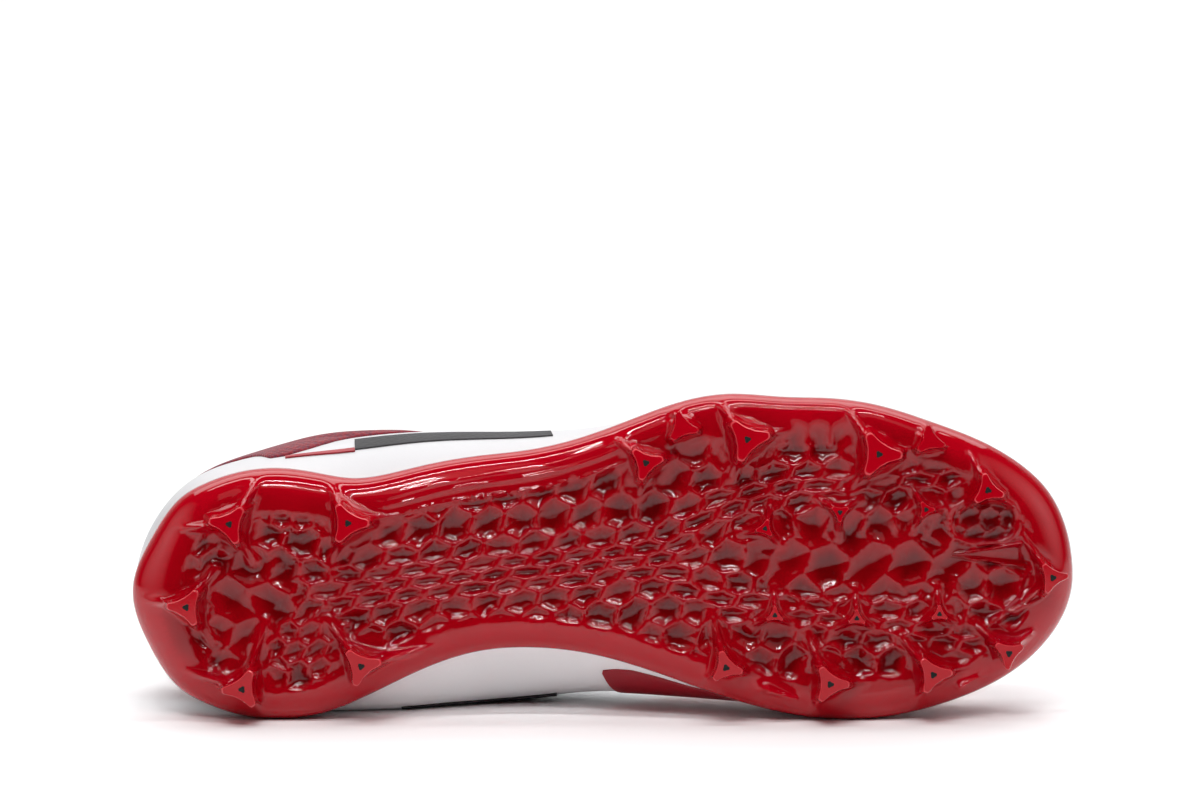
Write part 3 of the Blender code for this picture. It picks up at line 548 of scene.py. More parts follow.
def plate_relief(p, inset, xe, side):
    """How far the moulded face stands below (minus) or above the plain plate."""
    field = np.where(side < 0, by_x(FIELD, FIELD_COLS, "lateral", xe), by_x(FIELD, FIELD_COLS, "medial", xe))
    inside = step(-0.6, 2.2, inset - field)
    uv = cell_uv(p)
    t, who, loc = cell_share(uv)
    pitch = 1 / row_density(p[:, 0], p[:, 1])
    depth = np.clip(0.14 * pitch + 0.95, 1.35, 2.1) * (0.8 + 0.35 * hash01(who, 1))
    tilt = (hash01(who, 2) - 0.5) * 0.7 * loc[:, 0] + (hash01(who, 3) - 0.5) * 0.7 * loc[:, 1]
    q = t / ridge_share(pitch)
    pit = np.where(q < 1, 1 - np.clip(q, 0, 1) ** 2.3, 0.0) * (1 + tilt)
    crest = 0.16 * np.clip((q - 1) / np.maximum(1 / ridge_share(pitch) - 1, 1e-3), 0, 1)
    calm = np.minimum(stud_clear(p), 0.12 + 0.88 * leg_clear(p))
    fine = np.minimum(depth * pit * calm + 0.30 - crest, 2.5)
    # broad soft bowls in the heel and under the middle of the ball
    heel = 1 - step(0.75, 1.1, np.hypot((p[:, 0] - 36) / 21, (p[:, 1] - 9) / 19))
    ball_mid = 1 - step(0.7, 1.1, np.hypot((p[:, 0] - 232) / 40, (p[:, 1] + 3.5) / 11.5))
    broad = np.maximum(heel, ball_mid)
    wide = np.stack([(p[:, 0] + 1.6 * np.sin(0.29 * p[:, 1] + 0.8)) / 13.0, (p[:, 1] + 3.0 + 1.5 * np.sin(0.21 * p[:, 0] + 1.0)) / 12.0 * ROW_UNIT], -1)
    tb, wb, lb = cell_share(wide)
    bowl = (1.1 + 1.1 * hash01(wb, 4)) * (1 - tb ** 2.0) * (1 + (hash01(wb, 5) - 0.5) * 0.8 * lb[:, 0] + (hash01(wb, 6) - 0.5) * 0.8 * lb[:, 1])
    z = inside * ((1 - broad) * fine + broad * (0.3 + bowl * calm + 0.12 * (fine - 0.9)))
    st, sw, _ = small_cells(p)
    for cx, cy, ax, ay in SMALL[:2]:
        near = 1 - step(0.8, 1.05, np.hypot((p[:, 0] - cx) / ax, (p[:, 1] - cy) / ay))
        comb = 0.25 + (1.25 + 0.5 * hash01(sw, 7)) * np.clip(1 - (st / 0.86) ** 2.4, 0, 1) * calm
        z = z * (1 - near) + near * inside * comb
    # pocket behind the toe: a rounded hollow with small cells in it
    px, py = (p[:, 0] - 271.0) / 11.0, (p[:, 1] + 17.0) / 6.6
    reach = (np.abs(px) ** 3 + np.abs(py) ** 2.4) ** (1 / 2.6)
    hollow = 1 - step(0.80, 0.97, reach)
    z = z * step(0.97, 1.22, reach) + hollow * (0.9 + 1.1 * (1 - st ** 2.5)) - 0.5 * bump(reach, 1.06, 0.07)
    # smooth wedge beside it, point to the heel
    half_w = 4.0 * np.clip((p[:, 0] - 261.0) / 22.0, 0, 1)
    flat = (1 - step(0.8, 1.25, np.abs(p[:, 1] + 6.4) / np.maximum(half_w, 0.3))) * step(261, 264, p[:, 0]) * (1 - step(283, 287, p[:, 0]))
    z = z * (1 - flat) + flat * (0.9 + 0.16 * (p[:, 1] + 6.4))
    # flutes down from the lateral rim under the ball
    ball = (side < 0) * step(186, 194, p[:, 0]) * (1 - step(246, 256, p[:, 0]))
    flute = np.abs(np.sin(math.pi * p[:, 0] / 7.4)) * bump(inset, field - 1.6, 3.2)
    z = z + ball * calm * 1.8 * flute
    # thin ribs along the lateral rail
    rail = (side < 0) * step(72, 92, p[:, 0]) * (1 - step(150, 172, p[:, 0]))
    for first, last, high in ((7.0, 5.0, 0.5), (9.6, 7.4, 0.6), (13.2, 12.0, 0.8)):
        at = first + (last - first) * np.clip((p[:, 0] - 85) / 70, 0, 1)
        z = z - rail * high * bump(inset, at, 0.55)
    return z


def face_z(p):
    """Height of the moulded lower face."""
    inset, xe, side = inset_at(p)
    plain = plate_low(p[:, 0]) + rim_rise(np.maximum(inset, 0), sole_round(side, xe), 0.72 * rim_high(xe))
    return plain + plate_relief(p, inset, xe, side) - ridge_height(p)


def face_painted_shading(p):
    """Painted shading of the red at plan points: painted shade low in the pits and over the sunken field, painted
    light high on crests, legs and rim, with a little random tone.
    """
    inset, xe, side = inset_at(p)
    deep = np.clip(plate_relief(p, inset, xe, side) / 2.1, 0, 1)
    shut = 0.30 * step(5.0, 12.0, inset)
    high = np.clip(ridge_height(p) / 4.0, 0, 1)
    wander = 0.05 * np.sin(0.31 * p[:, 0] + 0.2 * p[:, 1]) * np.sin(0.27 * p[:, 1] - 0.15 * p[:, 0])
    return np.clip(0.90 - shut - 0.64 * deep ** 1.6 + 0.3 * high * (0.3 + deep) + wander, 0, 0.93)


BAND_DEG = np.array([0, 7, 14, 21, 28, 35, 42, 49, 56, 63.0])


def rim_ring(deg):
    """One ring of the rounded rim; 0 is its side, larger turns under."""
    out = []
    for side in (-1, 1):
        o = edge_line(PLATE, PLATE_COLS, side, FINE)
        n = plan_inward(PLATE, PLATE_COLS, side, FINE)
        x = o[:, 0]
        w = sole_round(side, x)
        a = math.radians(deg)
        inset = w * (1 - math.cos(a))
        plan = o + n * inset[:, None]
        z = plate_low(plan[:, 0]) + 0.72 * rim_high(x) * (1 - math.sin(a))
        out.append(np.concatenate([plan, z[:, None]], -1))
    return around(*out)


def rim_rest(inset, z_of):
    out = []
    for side in (-1, 1):
        o = edge_line(PLATE, PLATE_COLS, side, FINE)
        n = plan_inward(PLATE, PLATE_COLS, side, FINE)
        x = o[:, 0]
        d = inset(side, x)
        plan = o + n * d[:, None]
        out.append(np.concatenate([plan, z_of(side, plan, d, x)[:, None]], -1))
    return around(*out)


def stud_ring(stud, u, count):
    """Plan ring of a stud at the share u of its height from the tip."""
    corner = math.radians(stud["corner_deg"])
    even = np.arange(count) * 2 * math.pi / count
    ang = corner + even - 0.6 * np.sin(3 * even) / 3
    a = np.mod(ang - corner + math.pi / 3, 2 * math.pi / 3) - math.pi / 3
    cap = stud["radius"] * (1 + 0.10 * u + (stud["reach"] - 1.10) * u ** 2.6)
    rc = (1.42 + 0.25 * min(u / 0.4, 1.0)) * cap
    rf = stud["radius"] * 0.49 * (1 + 0.24 * u + 0.70 * u ** 4)
    tri = (0.5 / np.cos(math.pi / 3 - np.abs(a)) - 0.5) / 0.5
    r = rf + (rc - rf) * tri ** (1.27 + 0.25 * u)
    soft = 0.045 * cap
    r = -soft * np.log(np.exp(-r / soft) + np.exp(-cap / soft))
    return np.stack([stud["x"] + np.cos(ang) * r, stud["y"] + np.sin(ang) * r], -1)


STUD_COUNT = 54
STUD_U = np.array([0.0, 0.035, 0.09, 0.15, 0.17, 0.25, 0.36, 0.48, 0.6, 0.7, 0.79, 0.87, 0.94, 1.0])


def stud_foot(stud):
    """Foot ring, kept inside the under face."""
    ring = stud_ring(stud, 1.0, STUD_COUNT)
    centre = np.array([stud["x"], stud["y"]])
    for _ in range(16):
        inset, xe, side = inset_at(ring)
        limit = sole_round(side, xe) * (1 - math.cos(math.radians(63.0))) + 0.9
        ring = np.where((inset < limit)[:, None], centre + (ring - centre) * 0.96, ring)
    return ring


def cell_pitch(u, v):
    """Row pitch at a cell's middle."""
    at = cell_plan(np.array([float(u)]), np.array([float(v)]))
    return 1 / row_density(at[:, 0], at[:, 1])[0]


def within(pts, loop):
    """True for plan points inside a closed loop."""
    out = np.zeros(len(pts), bool)
    x, y = pts[:, 0], pts[:, 1]
    box = (x >= loop[:, 0].min()) & (x <= loop[:, 0].max()) & (y >= loop[:, 1].min()) & (y <= loop[:, 1].max())
    i = np.where(box)[0]
    odd = np.zeros(len(i), bool)
    for (ax, ay), (bx, by) in zip(loop, np.roll(loop, -1, 0)):
        hit = (ay > y[i]) != (by > y[i])
        if ay != by:
            odd ^= hit & (x[i] < ax + (bx - ax) * (y[i] - ay) / (by - ay))
    out[i] = odd
    return out


def build_outsole():
    rim_rings = [rim_ring(a) for a in BAND_DEG]
    count = len(rim_rings[0])
    # the under face starts at the last rim ring
    start = rim_rings[-1][:, :2]
    rim_rings[-1][:, 2] = face_z(start)
    for k, deg in enumerate(BAND_DEG[:-1]):
        ring = rim_rings[k]
        high = ridge_height(ring[:, :2])
        a = math.radians(deg)
        fade = deg / BAND_DEG[-1]
        centre = ring[:, :2].mean(0)
        out = []
        for side in (-1, 1):
            out.append(plan_inward(PLATE, PLATE_COLS, side, FINE))
        inward = around(*out)
        ring[:, :2] -= inward * (high * math.cos(a) * 0.25 * fade)[:, None]
        ring[:, 2] -= high * math.sin(a) * fade

    def lip_z(side, p, d, x):
        return plate_low(x) + rim_high(x)

    def floor_z(side, p, d, x):
        return plate_low(p[:, 0]) + rim_rise(d, sole_round(side, x), 0.72 * rim_high(x)) + PLATE_THICK

    top = [rim_rest(lambda s, x: sole_round(s, x) * 1.0, floor_z),
           rim_rest(lambda s, x: sole_round(s, x) * 0.62, floor_z),
           rim_rest(lambda s, x: x * 0 + RIM_INSET, floor_z),
           rim_rest(lambda s, x: x * 0 + RIM_INSET, lambda s, p, d, x: lip_z(s, p, d, x) - 0.4),
           rim_rest(lambda s, x: x * 0 + RIM_INSET - 0.4, lip_z),
           rim_rest(lambda s, x: x * 0 + RIM_INSET - RIM_LIP + 0.3, lip_z),
           rim_rest(lambda s, x: x * 0 + 0.22, lambda s, p, d, x: lip_z(s, p, d, x) - 0.5),
           rim_rest(lambda s, x: x * 0 + 0.08, lambda s, p, d, x: lip_z(s, p, d, x) - 1.3)]
    rings = top + rim_rings
    for ring, part in zip(rings, [0, 0, 0.55, 0.55, 0.75, 0.95, 1, 1] + [math.cos(math.radians(a)) ** 2 for a in BAND_DEG[:-1]] + [0]):
        ring[:, 0] -= 2.2 * part * bump(ring[:, 0], 0.0, 7.0) * bump(ring[:, 1], 6.0, 16.0)
    verts = [np.concatenate(rings)]
    # painted shading value for the rim rings: light, like the crests
    painted_shading = [np.full(len(verts[0]), 0.90)]
    faces = grid_faces(len(rings), count, closed=True)
    base = len(verts[0])

    # cup floor: plain, closed on the centre line
    mid = []
    for side in (-1, 1):
        s = FINE
        x = unshare(s, PLATE[0][0], PLATE[-1][0])
        cx = 22 + (x - PLATE[0][0]) * (283 - 22) / (PLATE[-1][0] - PLATE[0][0])
        cy = 0.5 * (edge_line(PLATE, PLATE_COLS, -1, s)[:, 1] + edge_line(PLATE, PLATE_COLS, 1, s)[:, 1])
        mid.append(np.stack([cx, cy], -1))
    mid = around(*mid)
    edge = top[0]
    inner = [edge]
    for f in (0.5, 1.0):
        plan = edge[:, :2] * (1 - f) + mid * f
        inner.append(np.concatenate([plan, (plate_low(plan[:, 0]) + PLATE_THICK)[:, None]], -1))
    verts.append(np.concatenate(inner))
    painted_shading.append(np.full(3 * count, 0.6))
    faces += grid_faces(3, count, closed=True, base=base)
    base += 3 * count

    # studs
    feet = []
    for row in STUDS:
        stud = dict(zip(STUD_COLS, row))
        foot = stud_foot(stud)
        feet.append(foot)
        scale = np.linalg.norm(foot - (stud["x"], stud["y"]), axis=-1) \
            / np.linalg.norm(stud_ring(stud, 1.0, STUD_COUNT) - (stud["x"], stud["y"]), axis=-1)
        low = float(plate_low(stud["x"]))
        slope = float(plate_low(stud["x"] + 2) - plate_low(stud["x"] - 2)) / 4
        tip = max(low - STUD_HEIGHT * stud["height"], 0.0)
        foot_z = face_z(foot)
        rings = []
        centre = np.array([stud["x"], stud["y"]])
        for f in (0.04, 0.35, 0.7, 0.9):
            plan = centre + (stud_ring(stud, 0.0, STUD_COUNT) - centre) * f
            rings.append(np.concatenate([plan, (tip + slope * (plan[:, 0] - stud["x"]))[:, None]], -1))
        for k, u in enumerate(STUD_U):
            pull = 1 + (scale - 1) * u
            plan = centre + (stud_ring(stud, u, STUD_COUNT) - centre) * pull[:, None]
            if k == 0:
                plan = centre + (plan - centre) * 0.93
            z_tip = tip + slope * (plan[:, 0] - stud["x"])
            z = z_tip + (foot_z - z_tip) * u
            rings.append(np.concatenate([plan, z[:, None]], -1))
        rings[-1][:, :2] = foot
        rings[-1][:, 2] = foot_z
        verts.append(np.concatenate(rings))
        foot_painted_shading = face_painted_shading(foot)
        # painted highlight: the edge rings of each tip get the lightest rose, standing in for the glint on the
        # chamfer; painted shade darkens the flanks towards the foot
        for k, u in enumerate(np.concatenate([np.zeros(4), STUD_U])):
            edge = 1.0 if k in (4, 5) and not stud["name"].startswith("fin") else 0.90 - 0.22 * min(u / 0.6, 1.0)
            painted_shading.append(edge * (1 - u ** 3) + foot_painted_shading * u ** 3)
        faces += grid_faces(len(rings), STUD_COUNT, closed=True, base=base)
        faces.append([base + i for i in range(STUD_COUNT)])
        base += len(rings) * STUD_COUNT

    # points of the under face: rings of every cell
    cols = np.arange(-2, 34)
    rows = np.arange(-14, 15)
    uu, vv = [], []
    for k in rows:
        for c in cols:
            cu, cv = c + 0.5 * (k % 2), k * ROW_UNIT
            edge = float(ridge_share(cell_pitch(cu, cv)))
            for t, n in ((1.0, 36), (edge + 0.35 * (1 - edge), 36), (edge, 36), (edge * 0.96, 36), (edge * 0.87, 30), (edge * 0.70, 24),
                         (edge * 0.48, 18), (edge * 0.24, 9)):
                ang = np.arange(n) * 2 * math.pi / n + math.pi / 6
                a6 = np.mod(ang, math.pi / 3) - math.pi / 6
                r = 0.5 * t / np.cos(a6)
                uu.append(cu + r * np.cos(ang))
                vv.append(cv + r * np.sin(ang))
    uu, vv = np.concatenate(uu), np.concatenate(vv)
    v_mid = np.array([np.interp(0.0, _gy, r) for r in _v]).mean()
    ok = ((uu - SLANT * vv / ROW_UNIT) * CELL_PITCH > 8) & ((uu - SLANT * vv / ROW_UNIT) * CELL_PITCH < 298)
    pts = cell_plan(uu[ok], vv[ok])
    inset, xe, side = inset_at(pts)
    ring_in = sole_round(side, xe) * (1 - math.cos(math.radians(BAND_DEG[-1])))
    field = np.where(side < 0, by_x(FIELD, FIELD_COLS, "lateral", xe), by_x(FIELD, FIELD_COLS, "medial", xe))
    pts = pts[inset > np.maximum(field - 1.0, ring_in + 0.7)]
    # smooth border between the rim and the field
    border = []
    for side in (-1, 1):
        o = edge_line(PLATE, PLATE_COLS, side, FINE)
        n = plan_inward(PLATE, PLATE_COLS, side, FINE)
        x = o[:, 0]
        r0 = sole_round(side, x) * (1 - math.cos(math.radians(BAND_DEG[-1])))
        f1 = by_x(FIELD, FIELD_COLS, "lateral" if side < 0 else "medial", x) - 0.8
        for k in range(1, 12):
            d = r0 + 0.75 * k
            keep = d < f1
            border.append((o + n * d[:, None])[keep])
    for row in RIDGES:
        r = dict(zip(RIDGE_COLS, row))
        a, b = np.array([r["x0"], r["y0"]]), np.array([r["x1"], r["y1"]])
        length = np.linalg.norm(b - a)
        d = (b - a) / length
        off = np.array([-d[1], d[0]])
        s = np.arange(0.0, length + 1.5, 0.6)
        half = r["half_width"] * (0.95 - 0.40 * np.clip(s / length, 0, 1))
        for e in (0.0, 0.2, -0.2, 0.4, -0.4, 0.54, -0.54, 0.64, -0.64, 0.8, -0.8, 1.1, -1.1, 1.5, -1.5, 1.9, -1.9):
            border.append(a + d * s[:, None] + off * (e * half)[:, None])
    for cx, cy, ax, ay in SMALL:
        gx, gy = np.meshgrid(np.arange(-ax, ax, 0.72), np.arange(-ay, ay, 0.62))
        gx = gx + 0.36 * (np.arange(len(gx)) % 2)[:, None]
        near = np.hypot(gx / ax, gy / ay) < 1.05
        border.append(np.stack([cx + gx[near], cy + gy[near]], -1))
    border = np.concatenate(border)
    inset, xe, side = inset_at(border)
    ring_in = sole_round(side, xe) * (1 - math.cos(math.radians(BAND_DEG[-1])))
    pts = np.concatenate([border[inset > ring_in + 0.45], pts])
    inside = np.ones(len(pts), bool)
    for foot, row in zip(feet, STUDS):
        cx, cy = row[1], row[2]
        ang = np.arctan2(foot[:, 1] - cy, foot[:, 0] - cx)
        rad = np.hypot(foot[:, 0] - cx, foot[:, 1] - cy)
        order = np.argsort(ang)
        pa = np.arctan2(pts[:, 1] - cy, pts[:, 0] - cx)
        pr = np.hypot(pts[:, 0] - cx, pts[:, 1] - cy)
        lim = np.interp(pa, ang[order], rad[order], period=2 * math.pi)
        inside &= pr > lim + 0.35
    pts = pts[inside]
    _, first = np.unique(np.round(pts / 0.16).astype(int), axis=0, return_index=True)
    pts = pts[np.sort(first)]

    loop = [start] + feet
    coords, edges = [], []
    for ring in loop:
        o = len(coords)
        coords += [Vector(p) for p in ring]
        edges += [(o + i, o + (i + 1) % len(ring)) for i in range(len(ring))]
    fixed = len(coords)
    coords += [Vector(p) for p in pts]
    vc, _, fc, orig, _, _ = delaunay_2d_cdt(coords, edges, [], 0, 1e-5)
    plan = np.array([tuple(v) for v in vc])
    tri = np.array(fc)
    mid3 = plan[tri].mean(1)
    keep = within(mid3, start)
    for foot in feet:
        keep &= ~within(mid3, foot)
    tri = tri[keep]
    z = face_z(plan)
    verts.append(np.concatenate([plan, z[:, None]], -1))
    painted_shading.append(face_painted_shading(plan))
    faces += (tri + base).tolist()
    allv = np.concatenate(verts)
    ob = new_object("outsole_moulding", world(allv, True), faces, [RED_PLATE], weld=2e-6, painted_shading=np.concatenate(painted_shading))
    ob.data.set_sharp_from_angle(angle=math.radians(54))
    print("outsole: field points", len(pts), "faces", len(ob.data.polygons))
    return ob


outsole = build_outsole()
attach(outsole, "root")
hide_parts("outsole")


# ---------------------------------------------------------------- upper
def last_point(side, s, deg):
    """Point of the closed last above its widest line; deg 0 there, 90 on the ridge."""
    s = np.asarray(s, float)
    wide = edge_line(UPPER, UPPER_COLS, side, s)
    x = wide[..., 0]
    key = "lateral" if side < 0 else "medial"
    z_w = by_x(UPPER, UPPER_COLS, "z_" + key, x)
    ridge = np.stack([by_x(LAST, LAST_COLS, "ridge_x", x), by_x(LAST, LAST_COLS, "ridge_y", x)], -1)
    z_r = by_x(LAST, LAST_COLS, "ridge_z", x)
    power = 2 / by_x(LAST, LAST_COLS, "fullness", x)
    a = np.radians(np.asarray(deg, float))
    over = 1 - np.clip(np.cos(a), 0, 1) ** power
    rise = np.clip(np.sin(a), 0, 1) ** power
    plan = wide + (ridge - wide) * over[..., None]
    return np.concatenate([plan, (z_w + (z_r - z_w) * rise)[..., None]], -1)


def last_normal(side, s, deg):
    ds, da = 2e-3, 1.0
    s = np.asarray(s, float)
    deg = np.clip(np.asarray(deg, float), 1.0, 88.5)
    u = last_point(side, np.clip(s + ds, 0, 1), deg) - last_point(side, np.clip(s - ds, 0, 1), deg)
    v = last_point(side, s, deg + da) - last_point(side, s, deg - da)
    n = np.cross(u, v) * side
    n /= np.linalg.norm(n, axis=-1, keepdims=True)
    flip = np.sign(n[..., 2:3] * 0.5 + n[..., 1:2] * side)
    return n * np.where(flip == 0, 1, flip)


UPPER_X = column(UPPER, UPPER_COLS, "x")
CLOSED_FROM = float(share(206.5, UPPER_X[0], UPPER_X[-1]))


def cut_deg(side, s):
    x = edge_line(UPPER, UPPER_COLS, side, s)[..., 0]
    return np.clip(by_x(LAST, LAST_COLS, "cut_lateral" if side < 0 else "cut_medial", x), 4, 90)


def at_x(x):
    return share(np.asarray(x, float), UPPER_X[0], UPPER_X[-1])


def upper_point(side, s, t):
    """Outer face of the upper: t 0 at the cup rim, 1 at the widest line, 2 at the top edge."""
    s = np.asarray(s, float)
    t = np.asarray(t, float)
    o = edge_line(PLATE, PLATE_COLS, side, s)
    x = o[..., 0]
    foot = o + plan_inward(PLATE, PLATE_COLS, side, s) * (RIM_INSET + GAP)
    wide = last_point(side, s, s * 0)
    z_mid = np.minimum(plate_low(x) + rim_high(x) + 0.7, wide[..., 2] - 4)
    b = np.clip(t, 0, 1)
    a = 3 * b * (1 - b) ** 2 * 0.42 + 3 * b * b * (1 - b) + b ** 3
    up = 3 * b * (1 - b) ** 2 * 0.28 + 3 * b * b * (1 - b) * 0.55 + b ** 3
    low = np.concatenate([foot + (wide[..., :2] - foot) * a[..., None],
                          (z_mid + (wide[..., 2] - z_mid) * up)[..., None]], -1)
    cut = np.where(s >= CLOSED_FROM, 90.0, cut_deg(side, s))
    high = last_point(side, s, cut * np.clip(t - 1, 0, 1))
    return np.where((t <= 1)[..., None], low, high)


def upper_normal(side, s, t):
    s, t = np.broadcast_arrays(np.asarray(s, float), np.asarray(t, float))
    ds, dt = 2.5e-3, 0.03
    u = upper_point(side, np.clip(s + ds, 0, 1), t) - upper_point(side, np.clip(s - ds, 0, 1), t)
    v = upper_point(side, s, np.clip(t + dt, 0, 2)) - upper_point(side, s, np.clip(t - dt, 0, 2))
    n = np.cross(u, v)
    n /= np.maximum(np.linalg.norm(n, axis=-1, keepdims=True), 1e-9)
    out = np.stack([0.01 * (edge_line(UPPER, UPPER_COLS, side, s)[..., 0] - 150), s * 0 + side, s * 0 + 0.5], -1)
    return n * np.where((n * out).sum(-1, keepdims=True) < 0, -1, 1)


def weave(nt, kind, scale, coords="Object"):
    tc = nt.nodes.new("ShaderNodeTexCoord")
    if kind == "cells":
        n = nt.nodes.new("ShaderNodeTexVoronoi")
        n.inputs["Scale"].default_value = scale
        nt.links.new(tc.outputs[coords], n.inputs["Vector"])
        return n.outputs["Distance"]
    n = nt.nodes.new("ShaderNodeTexWave")
    n.bands_direction = kind
    n.inputs["Scale"].default_value = scale
    n.inputs["Distortion"].default_value = 0.6
    n.inputs["Detail"].default_value = 1.0
    nt.links.new(tc.outputs[coords], n.inputs["Vector"])
    return n.outputs["Fac"]


def leather(name, low, high, rough, grain=1100.0, strength=0.12):
    mat, nt, bsdf = base_material(name, low, rough)
    n = noise(nt, 45.0, 3.0)
    nt.links.new(ramp(nt, n.outputs["Fac"], [(0.35, low), (0.65, high)]), bsdf.inputs["Base Color"])
    first = add_bump(nt, bsdf, weave(nt, "cells", grain), strength, 0.0002)
    add_bump(nt, bsdf, noise(nt, 160.0, 3.0).outputs["Fac"], 0.06, 0.0008, first)
    return mat


def fabric(name, low, high, rough, bands, cells, strength=0.5):
    mat, nt, bsdf = base_material(name, low, rough)
    c = weave(nt, "cells", cells)
    nt.links.new(ramp(nt, c, [(0.1, high), (0.75, low)]), bsdf.inputs["Base Color"])
    first = add_bump(nt, bsdf, weave(nt, "X", bands), strength * 0.5, 0.0004)
    add_bump(nt, bsdf, c, strength, 0.0005, first)
    bsdf.inputs["Sheen Weight"].default_value = 0.25
    return mat


WHITE_SKIN = leather("white_synthetic", (0.74, 0.735, 0.75), (0.78, 0.775, 0.79), 0.42)


def paint_height_shading(mat, low, high):
    """Painted shading: colour that turns from low to high over the height of the shoe as it lies, to even out the
    light from above.
    """
    nt = mat.node_tree
    tc = nt.nodes.new("ShaderNodeTexCoord")
    m = nt.nodes.new("ShaderNodeMapping")
    m.inputs["Scale"].default_value = (10.0, 10.0, 10.0)
    x = nt.nodes.new("ShaderNodeSeparateXYZ")
    nt.links.new(tc.outputs["Object"], m.inputs["Vector"])
    nt.links.new(m.outputs["Vector"], x.inputs["Vector"])
    nt.links.new(ramp(nt, x.outputs["Z"], [(0.20, low), (0.62, high)]), nt.nodes["Principled BSDF"].inputs["Base Color"])


# painted shading: the white is lighter near the floor and darker up top, evening out the stronger light from above
paint_height_shading(WHITE_SKIN, (0.92, 0.915, 0.925), (0.60, 0.594, 0.608))
RED_SKIN = leather("red_synthetic", (0.30, 0.002, 0.010), (0.34, 0.003, 0.014), 0.42)
CHARCOAL = leather("charcoal_textured", (0.018, 0.017, 0.019), (0.034, 0.032, 0.035), 0.6, 700.0, 0.6)
RED_KNIT = fabric("red_knit", (0.24, 0.004, 0.014), (0.10, 0.010, 0.030), 0.85, 420.0, 780.0)
TONGUE_KNIT = fabric("red_tongue_knit", (0.26, 0.004, 0.014), (0.13, 0.004, 0.014), 0.88, 380.0, 900.0)
LACE_WEAVE = fabric("white_lace_weave", (0.74, 0.74, 0.75), (0.60, 0.60, 0.62), 0.9, 1400.0, 1500.0, 0.7)
INSOLE_CLOTH = fabric("grey_insole_cloth", (0.055, 0.055, 0.060), (0.030, 0.030, 0.034), 0.92, 900.0, 1200.0)
LINING = fabric("grey_lining", (0.16, 0.155, 0.16), (0.10, 0.10, 0.105), 0.92, 700.0, 1000.0)
THREAD = fabric("thread", (0.70, 0.70, 0.71), (0.55, 0.55, 0.56), 0.8, 2600.0, 3000.0)
EYELET_RING, _nt, _b = base_material("eyelet_ring", (0.09, 0.09, 0.095), 0.35)
_b.inputs["Coat Weight"].default_value = 0.4
add_bump(_nt, _b, noise(_nt, 1500.0).outputs["Fac"], 0.05, 0.0002)
DOT_DARK, _nt, _b = base_material("stud_dot", (0.006, 0.007, 0.007), 0.6, Specular_IOR_Level=0.25)
add_bump(_nt, _b, noise(_nt, 2500.0).outputs["Fac"], 0.2, 0.0002)

US = np.linspace(0, 1, 191)
LOW_T = np.linspace(0, 1, 11)
HIGH_T = np.linspace(1, 2, 27)[1:]


def wall_at(p):
    reach = np.clip((95 - p[..., 0]) / 30, 0, 1)
    high = np.clip((p[..., 2] - 45) / 20, 0, 1)
    return WALL + (COLLAR_WALL - WALL) * reach * high


def upper_creases(p, side):
    """Soft flex troughs over the ball of the foot and dents at the ankle, in millimetres inward."""
    x, z = p[..., 0], p[..., 2]
    over = step(40, 58, z) * step(196, 212, x) * (1 - step(252, 266, x))
    d = 0.0
    for at, lean, deep, wide in ((214, 0.10, 0.8, 2.8), (225, 0.05, 1.25, 3.2), (237, -0.02, 1.0, 3.0), (248, -0.08, 0.55, 2.6)):
        d = d + deep * over * bump(x - at - lean * (p[..., 1] * 0.8), 0, wide)
    d = d + 0.5 * bump(x, 88, 9) * bump(z, 74, 11)
    return d


